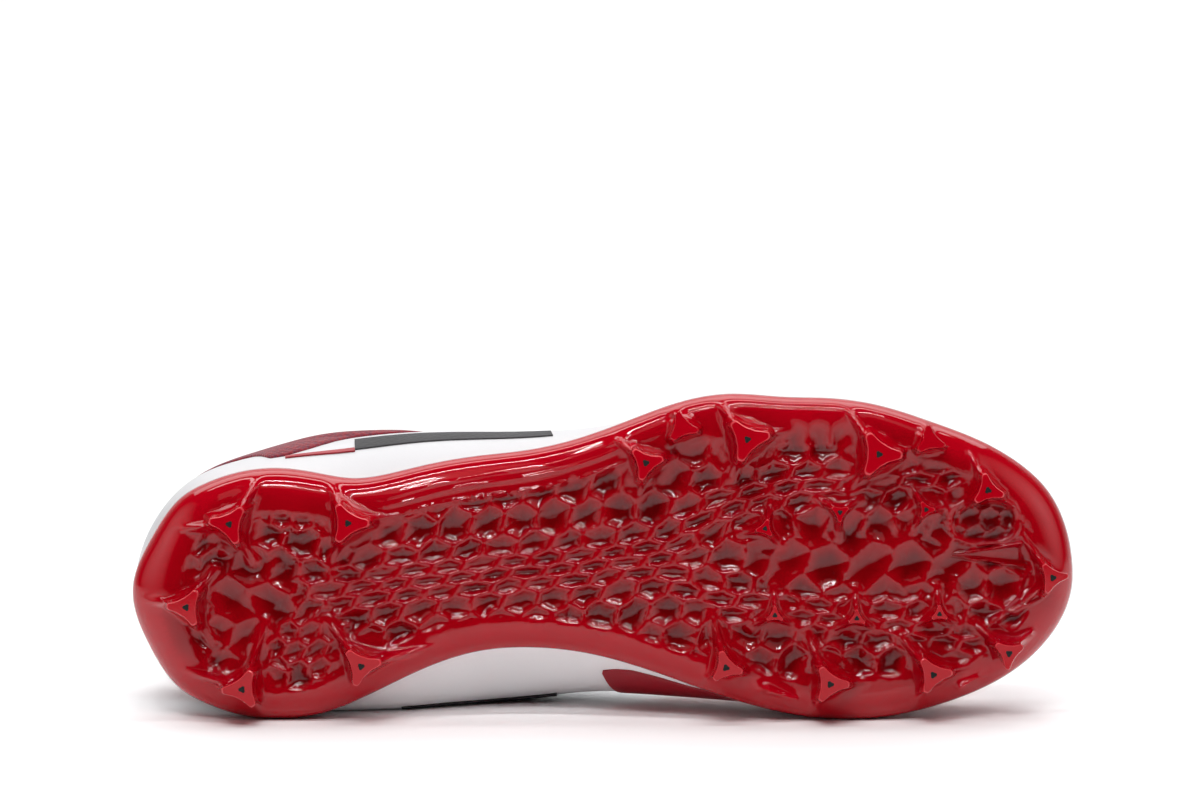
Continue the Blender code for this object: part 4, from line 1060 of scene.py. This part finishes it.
def build_upper():
    n = len(US)
    outer = []
    inset = RIM_INSET + GAP
    for side in (-1, 1):
        o = edge_line(PLATE, PLATE_COLS, side, US)
        foot = o + plan_inward(PLATE, PLATE_COLS, side, US) * inset
        x = o[:, 0]
        z0 = plate_low(foot[:, 0]) + rim_rise(x * 0 + inset, sole_round(side, x), 0.72 * rim_high(x)) + PLATE_THICK + GAP
        rows = [np.concatenate([foot, z0[:, None]], -1)]
        rows += [upper_point(side, US, US * 0 + t) for t in np.concatenate([LOW_T, HIGH_T])]
        outer.append(np.stack(rows))
    lat, med = outer
    grid = np.concatenate([lat, med[:, -2:0:-1]], 1)
    rows, cols = grid.shape[:2]
    du = np.roll(grid, -1, 1) - np.roll(grid, 1, 1)
    dv = np.gradient(grid, axis=0)
    nrm = np.cross(du, dv)
    nrm /= np.maximum(np.linalg.norm(nrm, axis=-1, keepdims=True), 1e-9)
    if (nrm[12, 60] * np.array([0, -1, 0])).sum() < 0:
        nrm = -nrm
    closed = US >= CLOSED_FROM
    first = int(np.argmax(closed))
    for i in range(first, n - 1):
        j = 2 * n - 2 - i
        m = nrm[-1, i] + nrm[-1, j] + np.array([0, 0, 0.6])
        nrm[-1, i] = nrm[-1, j] = m / np.linalg.norm(m)
    nrm[-1, n - 1] = (nrm[-1, n - 2] + np.array([0.3, 0, 0.6]))
    nrm[-1, n - 1] /= np.linalg.norm(nrm[-1, n - 1])
    side = np.where(np.arange(cols) < n, -1, 1)
    grid = grid - nrm * upper_creases(grid, side[None])[..., None]
    wall = wall_at(grid)
    inner = grid - nrm * wall[..., None]
    # the foot band is straight, so its inner face is offset in plan only
    top_out, top_in = grid[-1], inner[-1]
    up = dv[-1] / np.maximum(np.linalg.norm(dv[-1], axis=-1, keepdims=True), 1e-9)
    arc = []
    for a in np.radians([36, 72, 108, 144]):
        mid = 0.5 * (top_out + top_in)
        half = 0.5 * (top_out - top_in)
        arc.append(mid + half * math.cos(a) + up * (0.5 * wall[-1] * math.sin(a))[:, None])
    prof = np.concatenate([grid, np.stack(arc), inner[::-1]])
    m = len(prof)
    faces, mats = [], []
    is_closed = np.zeros(cols, bool)
    is_closed[first:2 * n - 1 - first] = True
    for r in range(m - 1):
        for c in range(cols):
            d = (c + 1) % cols
            if rows - 1 <= r < rows + 4 and is_closed[c] and is_closed[d]:
                continue
            faces.append((r * cols + c, r * cols + d, (r + 1) * cols + d, (r + 1) * cols + c))
            mats.append(0 if r < rows + 2 else 1)
    for c in range(cols):
        d = (c + 1) % cols
        faces.append(((m - 1) * cols + c, (m - 1) * cols + d, d, c))
        mats.append(0)
    return new_object("upper_shell", world(prof.reshape(-1, 3), True), faces, [WHITE_SKIN, LINING], weld=2e-6, face_mat=mats)


def panel(name, mat, strips, lift=0.55, sunk=0.35, rows=14, start_open=False, end_open=False, swell=None):
    """Thin sewn-on panel; strips are (side, s, low t, high t) runs along the upper."""
    verts, faces, base = [], [], 0
    for side, s, lo, hi in strips:
        s, lo, hi = (np.asarray(v, float) for v in (s, lo, hi))
        k = np.concatenate([[0.0, 0.004, 0.02], np.linspace(0.05, 0.95, rows), [0.98, 0.996, 1.0]])
        t = lo[:, None] + (hi - lo)[:, None] * k[None]
        ss = np.broadcast_to(s[:, None], t.shape)
        p = upper_point(side, ss, t)
        n = upper_normal(side, ss, np.minimum(t, 1.97))
        meet = (s >= CLOSED_FROM) & (hi > 1.995)
        other = upper_normal(-side, ss, np.minimum(t, 1.97))
        w = np.where(meet[:, None], 0.5 * step(1.8, 2.0, t), 0)[..., None]
        n = (1 - w) * n + w * other
        n /= np.maximum(np.linalg.norm(n, axis=-1, keepdims=True), 1e-9)
        p = p - n * upper_creases(p, side)[..., None]
        full = np.full(t.shape, lift) + (0 if swell is None else swell(side, p) * np.sin(math.pi * k)[None])
        up = full.copy()
        up[:, 0], up[:, 1] = -sunk, lift * 0.55
        up[:, -1] = np.where(meet, lift, -sunk)
        up[:, -2] = np.where(meet, lift, lift * 0.55)
        if not start_open:
            up[0] = -sunk
        if not end_open:
            up[-1] = -sunk
        top = p + n * up[..., None]
        low = p - n * sunk
        a, b = t.shape
        verts += [top.reshape(-1, 3), low.reshape(-1, 3)]
        faces += grid_faces(a, b, base=base) + grid_faces(a, b, base=base + a * b)
        base += 2 * a * b
    return new_object(name, world(np.concatenate(verts), True), faces, [mat], weld=4e-6)


def run_x(x0, x1, count):
    """Shares from x0 to x1 with close pairs at both ends for a clean edge."""
    x = np.concatenate([[x0, x0 + 0.05, x0 + 0.3], np.linspace(x0 + 1.2, x1 - 1.2, count), [x1 - 0.3, x1 - 0.05, x1]])
    return at_x(x), x


def tube_points(path, radius, sides=10, closed=False):
    """Vertices and faces of a round tube along a path in millimetres."""
    path = np.asarray(path, float)
    run = np.gradient(path, axis=0) if not closed else np.roll(path, -1, 0) - np.roll(path, 1, 0)
    run /= np.maximum(np.linalg.norm(run, axis=-1, keepdims=True), 1e-9)
    ref = np.array([0.31, 0.22, 0.92])
    a = np.cross(run, ref)
    a /= np.maximum(np.linalg.norm(a, axis=-1, keepdims=True), 1e-9)
    b = np.cross(run, a)
    ang = np.arange(sides) * 2 * math.pi / sides
    v = path[:, None] + radius * (np.cos(ang)[None, :, None] * a[:, None] + np.sin(ang)[None, :, None] * b[:, None])
    n = len(path)
    faces = grid_faces(n, sides, closed=True)
    if closed:
        faces += [((n - 1) * sides + i, (n - 1) * sides + (i + 1) % sides, (i + 1) % sides, i) for i in range(sides)]
    else:
        faces += [tuple(range(sides - 1, -1, -1)), tuple(range((n - 1) * sides, n * sides))]
    return v.reshape(-1, 3), faces


def joined(name, parts, mat):
    verts, faces, base = [], [], 0
    for v, f in parts:
        verts.append(v)
        faces += [tuple(i + base for i in q) for q in f]
        base += len(v)
    return new_object(name, world(np.concatenate(verts), True), faces, [mat], weld=0)


def stitches(lines, pitch=2.6, length=1.7, radius=0.28, lift=0.62):
    """Short thread capsules along lines on the upper."""
    parts = []
    for side, s, t in lines:
        p = upper_point(side, s, t)
        n = upper_normal(side, s, t)
        p = p - n * upper_creases(p, side)[..., None] + n * lift
        gone = np.concatenate([[0], np.cumsum(np.linalg.norm(np.diff(p, axis=0), axis=-1))])
        for d in np.arange(1.0, gone[-1] - length, pitch):
            q = np.stack([[np.interp(d + e * length, gone, p[:, k]) for k in range(3)] for e in (0, 0.15, 0.5, 0.85, 1.0)])
            v, f = tube_points(q, radius, 6)
            ring = v.reshape(5, 6, 3)
            ring[0] = q[0] + (ring[0] - q[0]) * 0.35
            ring[-1] = q[-1] + (ring[-1] - q[-1]) * 0.35
            parts.append((ring.reshape(-1, 3), f))
    return parts


upper = build_upper()
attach(upper, "root")
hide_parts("upper")


def own(piece):
    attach(piece, "root")
    return piece


# red forepart with a white strip left over the sole
FORE_COLS = ("x", "low", "high")
FOREPART = [(148, 0.36, 0.40), (152, 0.31, 0.68), (157, 0.28, 1.0), (166, 0.30, 1.25), (176, 0.35, 1.46),
            (190, 0.40, 1.66), (200, 0.42, 1.80), (207.5, 0.43, 2.0), (298, 0.43, 2.0)]
FORE = []
for _side, _from in ((-1, 12.0), (1, 0.0)):
    _xs = np.array([r[0] + _from * (r[0] < 205) * (207.5 - r[0]) / 59.5 for r in FOREPART])
    _x = np.concatenate([[_xs[0], _xs[0] + 0.05, _xs[0] + 0.3], np.linspace(_xs[0] + 1.0, 288.0, 120), 288.0 + 10 * np.sin(np.linspace(0.1, 1, 14) * math.pi / 2)])
    FORE.append((_side, at_x(_x), np.interp(_x, _xs, [r[1] for r in FOREPART]), np.interp(_x, _xs, [r[2] for r in FOREPART])))
own(panel("red_forepart", RED_SKIN, FORE, lift=0.5, rows=24, end_open=True))

# knit band round the collar, lower on the lateral side in front of the heel
COLLAR_COLS = ("x", "lateral", "medial")
COLLAR_LOW = [(-1.5, 1.36, 1.36), (12, 1.34, 1.36), (21, 1.27, 1.37), (29, 1.15, 1.38), (35, 1.0, 1.39), (38.5, 0.82, 1.39), (41.5, 0.60, 1.40), (46, 0.60, 1.42),
              (52, 0.69, 1.44), (58, 0.80, 1.46), (64, 0.93, 1.48), (69, 1.03, 1.50), (76, 1.14, 1.50), (86, 1.28, 1.48), (101, 1.52, 1.46)]
COLLAR = []
for _side in (-1, 1):
    _s = np.linspace(0.0, float(at_x(100.0)), 130)
    _x = unshare(_s, UPPER_X[0], UPPER_X[-1])
    COLLAR.append((_side, _s, np.interp(_x, [r[0] for r in COLLAR_LOW], [r[1 if _side < 0 else 2] for r in COLLAR_LOW]), 0 * _x + 1.985))


def collar_pad(side, p):
    """Foam roll under the knit, fuller at the ankle."""
    return 0.8 + 1.5 * (side < 0) * bump(p[..., 0], 58, 16)


own(panel("knit_collar", RED_KNIT, COLLAR, lift=0.6, rows=26, start_open=True, swell=collar_pad))

# plain charcoal band along each side
BAND_STRIPS = []
for _side, _x0, _x1, _a, _b in ((-1, 69.0, 133.0, 0.58, 0.82), (1, 85.0, 135.0, 0.82, 1.04)):
    _s, _x = run_x(_x0, _x1, 60)
    BAND_STRIPS.append((_side, _s, 0 * _x + _a, 0 * _x + _b))
own(panel("charcoal_band", CHARCOAL, BAND_STRIPS, lift=0.5, rows=8))

# thin red piping in front of the heel
_s, _x = run_x(46.5, 69.0, 24)
own(panel("heel_piping", RED_SKIN, [(-1, _s, 0.52 + 0.03 * (_x - 46.5) / 22.5, 0.57 + 0.04 * (_x - 46.5) / 22.5)], lift=0.6, rows=4))

# eyelet facing on both sides of the throat
FACING = []
for _side in (-1, 1):
    _s, _x = run_x(103.0, 203.0, 80)
    FACING.append((_side, _s, 1.60 + 0.10 * step(150, 203, _x) + 0.26 * (1 - np.sqrt(1 - np.clip((_x - 183.0) / 20.2, 0, 1) ** 2)), 0 * _x + 1.985))
own(panel("eyelet_facing", WHITE_SKIN, FACING, lift=0.75, rows=10))

LINES = []
for _side, _s, _lo_t, _hi_t in FACING:
    LINES.append((_side, _s[3:-3], _lo_t[3:-3] + 0.035))
own(joined("seam_stitches", stitches(LINES, lift=0.85), THREAD))

# bound edge round the collar and throat
EDGE = []
for _side in (-1, 1):
    _s = np.linspace(0, CLOSED_FROM - 0.004, 150)
    p = upper_point(_side, _s, _s * 0 + 2.0)
    n_ = upper_normal(_side, _s, _s * 0 + 1.97)
    p = p - n_ * (0.5 * wall_at(p))[..., None]
    EDGE.append(p)
_loop = np.concatenate([EDGE[0], EDGE[1][::-1][:-1]])
own(joined("edge_binding", [tube_points(_loop, 1.75, 12, closed=True)], RED_KNIT))

# eyelets
LACE_ROWS = (190.0, 175.0, 160.0, 145.0, 130.0, 115.0)
EYELET_BACK_DEG = 9.0
_rings = []
for _row in LACE_ROWS:
    for _side in (-1, 1):
        _s = at_x(np.array([_row]))
        _deg = cut_deg(_side, _s) - EYELET_BACK_DEG
        _p = last_point(_side, _s, _deg)[0]
        _n = last_normal(_side, _s, _deg)[0]
        _u = np.cross(_n, (1.0, 0, 0))
        _u /= np.linalg.norm(_u)
        _w = np.cross(_n, _u)
        _a = np.arange(24) * 2 * math.pi / 24
        _path = _p + _n * 0.75 + 2.2 * (np.cos(_a)[:, None] * _u + np.sin(_a)[:, None] * _w)
        _rings.append(tube_points(_path, 0.5, 8, closed=True))
own(joined("eyelets", _rings, EYELET_RING))


# ---------------------------------------------------------------- tongue, lace, insole
TONGUE_HALF = ((84.0, 29.0), (110.0, 30.0), (150.0, 25.0), (203.0, 17.0))
TONGUE_THICK = 4.0


def build_tongue():
    s = at_x(84.0 + 125.0 * np.linspace(0, 1, 70) ** 1.15)
    x = unshare(s, UPPER_X[0], UPPER_X[-1])
    half = np.interp(x, [r[0] for r in TONGUE_HALF], [r[1] for r in TONGUE_HALF])
    half = half * (0.62 + 0.38 * np.sqrt(1 - (1 - np.clip((x - 84) / 15, 0, 1)) ** 2))
    k = np.linspace(-1, 1, 41)
    pts, nrm = [], []
    for c in k:
        side = -1 if c < 0 else 1
        wide, ridge = last_point(side, s, s * 0), last_point(side, s, s * 0 + 90)
        reach = np.linalg.norm(ridge[:, :2] - wide[:, :2], axis=-1)
        start = np.degrees(np.arccos(np.clip(half / reach, 0, 1)))
        deg = start + (90 - start) * (1 - abs(c))
        n = last_normal(side, s, deg)
        if abs(c) < 0.15:
            w = 0.5 + 0.5 * abs(c) / 0.15
            n = w * n + (1 - w) * last_normal(-side, s, deg)
            n /= np.linalg.norm(n, axis=-1, keepdims=True)
        pts.append(last_point(side, s, deg))
        nrm.append(n)
    p, n = np.stack(pts, 1), np.stack(nrm, 1)
    e_s = np.minimum(np.arange(70), np.arange(70)[::-1]) / 4.0
    e_k = (1 - np.abs(k)) * 20 / 3.0
    full = np.sqrt(1 - (1 - np.clip(np.minimum(e_s[:, None], e_k[None]), 0, 1)) ** 2)
    # quilted channels across the padding
    quilt = 0.45 * (0.5 - 0.5 * np.cos((x[:, None] - 84) / 9.0 * 2 * math.pi)) ** 6 * np.clip(e_k[None] / 3, 0, 1)
    mid = COLLAR_WALL + GAP + 0.3 + TONGUE_THICK / 2
    hi = p - n * (mid - TONGUE_THICK / 2 * full + quilt)[..., None]
    lo = p - n * (mid + TONGUE_THICK / 2 * full)[..., None]
    faces = grid_faces(70, 41) + grid_faces(70, 41, base=70 * 41)
    v = np.concatenate([hi.reshape(-1, 3), lo.reshape(-1, 3)])
    return new_object("tongue_padded", world(v), faces, [TONGUE_KNIT], weld=1e-5)


tongue = own(build_tongue())
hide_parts("tongue")

LACE_WIDTH = 5.5
LACE_THICK = 1.6


def lace_bar(station_a, station_b, past, lift, steps=36, sides=16):
    pts, nrm = [], []
    for i in range(steps + 1):
        t = i / steps
        s = at_x(np.array([station_a + (station_b - station_a) * t]))
        side = -1 if t < 0.5 else 1
        near = cut_deg(side, s) - EYELET_BACK_DEG - past
        deg = near + (90 - near) * (1 - abs(2 * t - 1))
        n = last_normal(side, s, deg)[0]
        w = np.clip((deg[0] - 70) / 20, 0, 1) * 0.5
        n = (1 - w) * n + w * last_normal(-side, s, deg)[0]
        pts.append(last_point(side, s, deg)[0])
        nrm.append(n / np.linalg.norm(n))
    pts, nrm = np.array(pts), np.array(nrm)
    pts = pts + nrm * (GAP + 0.2 + lift + LACE_THICK / 2)
    run = np.gradient(pts, axis=0)
    run /= np.linalg.norm(run, axis=-1, keepdims=True)
    across = np.cross(run, nrm)
    across /= np.linalg.norm(across, axis=-1, keepdims=True)
    ang = np.arange(sides) * 2 * math.pi / sides
    cx = np.sign(np.cos(ang)) * np.abs(np.cos(ang)) ** 0.5
    cy = np.sign(np.sin(ang)) * np.abs(np.sin(ang)) ** 0.8
    v = pts[:, None] + across[:, None] * (LACE_WIDTH / 2 * cx)[None, :, None] + nrm[:, None] * (LACE_THICK / 2 * cy)[None, :, None]
    faces = grid_faces(steps + 1, sides, closed=True)
    faces += [tuple(range(sides - 1, -1, -1)), tuple(range(sides * steps, sides * steps + sides))]
    return v.reshape(-1, 3), faces


_bars = [lace_bar(LACE_ROWS[0], LACE_ROWS[0], 1.0, 0.0)]
for _i, (_a, _b) in enumerate(zip(LACE_ROWS[:-1], LACE_ROWS[1:])):
    _bars.append(lace_bar(_a, _b, 3.1 - 0.9 * (_i % 2), 0.25 + 0.3 * (_i % 2)))
    _bars.append(lace_bar(_b, _a, 2.6 - 0.9 * (_i % 2), 0.85 + 0.3 * (_i % 2)))
lace = own(joined("lace_bars", _bars, LACE_WEAVE))
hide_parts("lace")


def build_insole():
    inset = RIM_INSET + GAP + COLLAR_WALL + GAP
    s = np.linspace(0, 1, 161)
    mid = []
    ring_a, ring_b = [], []
    for side in (-1, 1):
        o = edge_line(PLATE, PLATE_COLS, side, s)
        n = plan_inward(PLATE, PLATE_COLS, side, s)
        x = o[:, 0]
        cx = 22 + (x - PLATE[0][0]) * (283 - 22) / (PLATE[-1][0] - PLATE[0][0])
        cy = 0.5 * (edge_line(PLATE, PLATE_COLS, -1, s)[:, 1] + edge_line(PLATE, PLATE_COLS, 1, s)[:, 1])
        mid.append(np.stack([cx, cy], -1))
        foot = o + n * inset
        near, far = x * 0 + RIM_INSET, np.maximum(0.62 * sole_round(side, x), inset + 0.1)
        h = 0.72 * rim_high(x)
        z_near = plate_low(foot[:, 0]) + rim_rise(near, sole_round(side, x), h)
        z_far = plate_low(foot[:, 0]) + rim_rise(far, sole_round(side, x), h)
        z = z_near + (z_far - z_near) * (inset - near) / (far - near)
        ring_a.append(np.concatenate([foot, z[:, None]], -1))
        flat = o + n * sole_round(side, x)[:, None]
        ring_b.append(np.concatenate([flat, plate_low(flat[:, 0])[:, None]], -1))
    a, b, mid = around(*ring_a), around(*ring_b), around(*mid)
    c = np.concatenate([mid, plate_low(mid[:, 0])[:, None]], -1)
    rings = [a, b, 0.5 * (b + c), c]
    rings[2][:, 2] = plate_low(rings[2][:, 0])
    base = PLATE_THICK + GAP + 0.05
    up = np.array([0, 0, 1.0])
    low = [r + up * base for r in rings]
    top = [r + up * (base + 2.45) for r in rings]
    top[0] = top[0] - up * 0.5
    w = len(a)
    prof = low[::-1] + [low[0] + up * 1.2] + top
    v = np.concatenate(prof)
    return new_object("insole_bed", world(v), grid_faces(len(prof), w, closed=True), [INSOLE_CLOTH], weld=1e-5)


insole = own(build_insole())
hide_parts("insole")

# dark dot set in each stud tip
_dots = []
for _row in STUDS:
    _st = dict(zip(STUD_COLS, _row))
    if _st["name"].startswith("fin"):
        continue
    _low = float(plate_low(_st["x"]))
    _slope = float(plate_low(_st["x"] + 2) - plate_low(_st["x"] - 2)) / 4
    _tip = max(_low - STUD_HEIGHT * _st["height"], 0.0)
    _r = 0.98 if not _st["name"].startswith("inner") else 0.72
    _ang = np.radians(_st["corner_deg"]) + np.arange(18) * 2 * math.pi / 18
    _a3 = np.mod(_ang - np.radians(_st["corner_deg"]) + math.pi / 3, 2 * math.pi / 3) - math.pi / 3
    _rr = _r * (0.78 + 0.42 * (0.5 + 0.5 * np.cos(3 * _a3)))
    _rings3 = []
    for _f, _z in ((0.02, -0.10), (0.7, -0.10), (1.0, -0.03), (1.02, 0.25)):
        _x = _st["x"] + np.cos(_ang) * _rr * _f
        _y = _st["y"] + np.sin(_ang) * _rr * _f
        _rings3.append(np.stack([_x, _y, _tip + _slope * (_x - _st["x"]) + _z], -1))
    _v = np.concatenate(_rings3)
    _f = grid_faces(4, 18, closed=True) + [tuple(range(17, -1, -1)), tuple(range(54, 72))]
    _dots.append((_v, _f))
own(joined("stud_dots", _dots, DOT_DARK))


# ---------------------------------------------------------------- stage
def area_light(name, loc, aim, size, power, fan=180.0):
    data = bpy.data.lights.new(name, "AREA")
    data.shape = "RECTANGLE"
    data.size, data.size_y = size
    data.energy = power
    data.spread = math.radians(fan)
    ob = bpy.data.objects.new(name, data)
    ob.location = loc
    ob.rotation_euler = (Vector(aim) - Vector(loc)).to_track_quat("-Z", "Y").to_euler()
    bpy.context.scene.collection.objects.link(ob)
    return ob


def build_stage():
    # floor that sweeps up behind the shoe
    prof = [(-5.0, 0.0), (-2.0, 0.0), (-0.6, 0.0), (0.0, 0.0), (0.6, 0.0), (1.1, 0.0)]
    prof += [(1.1 + 0.9 * math.sin(a), 0.9 - 0.9 * math.cos(a)) for a in np.radians(np.arange(6, 91, 6))]
    prof += [(2.0, 3.2)]
    verts, faces = [], []
    for y, z in prof:
        verts += [(-5.0, y, z - 0.0002), (5.0, y, z - 0.0002)]
    for i in range(len(prof) - 1):
        faces.append((2 * i, 2 * i + 1, 2 * i + 3, 2 * i + 2))
    mat, nt, bsdf = base_material("floor_white", (0.93, 0.93, 0.935), 0.6)
    n = noise(nt, 3.0, 2.0)
    nt.links.new(ramp(nt, n.outputs["Fac"], [(0.3, (0.925, 0.925, 0.93)), (0.7, (0.935, 0.935, 0.94))]), bsdf.inputs["Base Color"])
    floor = new_object("studio_floor", verts, faces, [mat], weld=0)
    w = bpy.data.worlds.new("studio")
    bpy.context.scene.world = w
    w.use_nodes = True
    bg = w.node_tree.nodes["Background"]
    bg.inputs["Color"].default_value = (0.02, 0.02, 0.021, 1.0)
    bg.inputs["Strength"].default_value = 1.0
    area_light("ceiling_heel", (-1.05, 1.75, 2.2), (-1.05, 1.75, 0.0), (2.1, 1.8), 33.0)
    area_light("ceiling_bar", (0.0, 0.38, 2.1), (0.0, 0.38, 0.0), (3.2, 0.24), 17.0)
    area_light("ceiling_toe", (1.05, 1.75, 2.2), (1.05, 1.75, 0.0), (2.1, 1.8), 35.0)
    area_light("soft_top", (0.0, -0.32, 1.0), (0.0, -0.05, 0.05), (1.05, 0.020), 5.0)
    area_light("soft_low", (0.0, -0.85, 1.0), (0.0, -0.05, 0.05), (0.95, 0.018), 3.5)
    area_light("soft_front", (-0.2, -1.05, 1.45), (0.0, -0.1, 0.05), (0.32, 0.06), 4.0)
    area_light("side_heel", (-1.5, -0.25, 0.55), (0.0, -0.05, 0.05), (1.3, 1.3), 0.56, 54.0)
    area_light("side_toe", (1.5, -0.25, 0.55), (0.0, -0.05, 0.05), (1.3, 1.3), 0.56, 54.0)
    area_light("floor_front", (0.0, -1.7, 2.0), (0.0, -1.2, 0.0), (3.2, 1.2), 6.8)
    area_light("low_glow", (0.0, -2.6, 0.045), (0.0, 0.0, 0.045), (5.0, 0.10), 1.4)


build_stage()

# ---------------------------------------------------------------- camera
PITCH = math.radians(5.5)
DISTANCE = 1.2
cam_data = bpy.data.cameras.new("camera")
cam_data.sensor_width = 36.0
cam_data.lens = 36.0 * 3.14 * 1200.0 / 1200.0
cam_data.clip_end = 50.0
cam = bpy.data.objects.new("camera", cam_data)
bpy.context.scene.collection.objects.link(cam)
aim = Vector((-0.0009, -0.0277, 0.1007))
fwd = Vector((0.0, math.cos(PITCH), -math.sin(PITCH)))
cam.location = aim - fwd * DISTANCE
cam.rotation_euler = fwd.to_track_quat("-Z", "Y").to_euler()
bpy.context.scene.camera = cam
bpy.context.scene.view_settings.view_transform = "Standard"
bpy.context.scene.view_settings.look = "None"
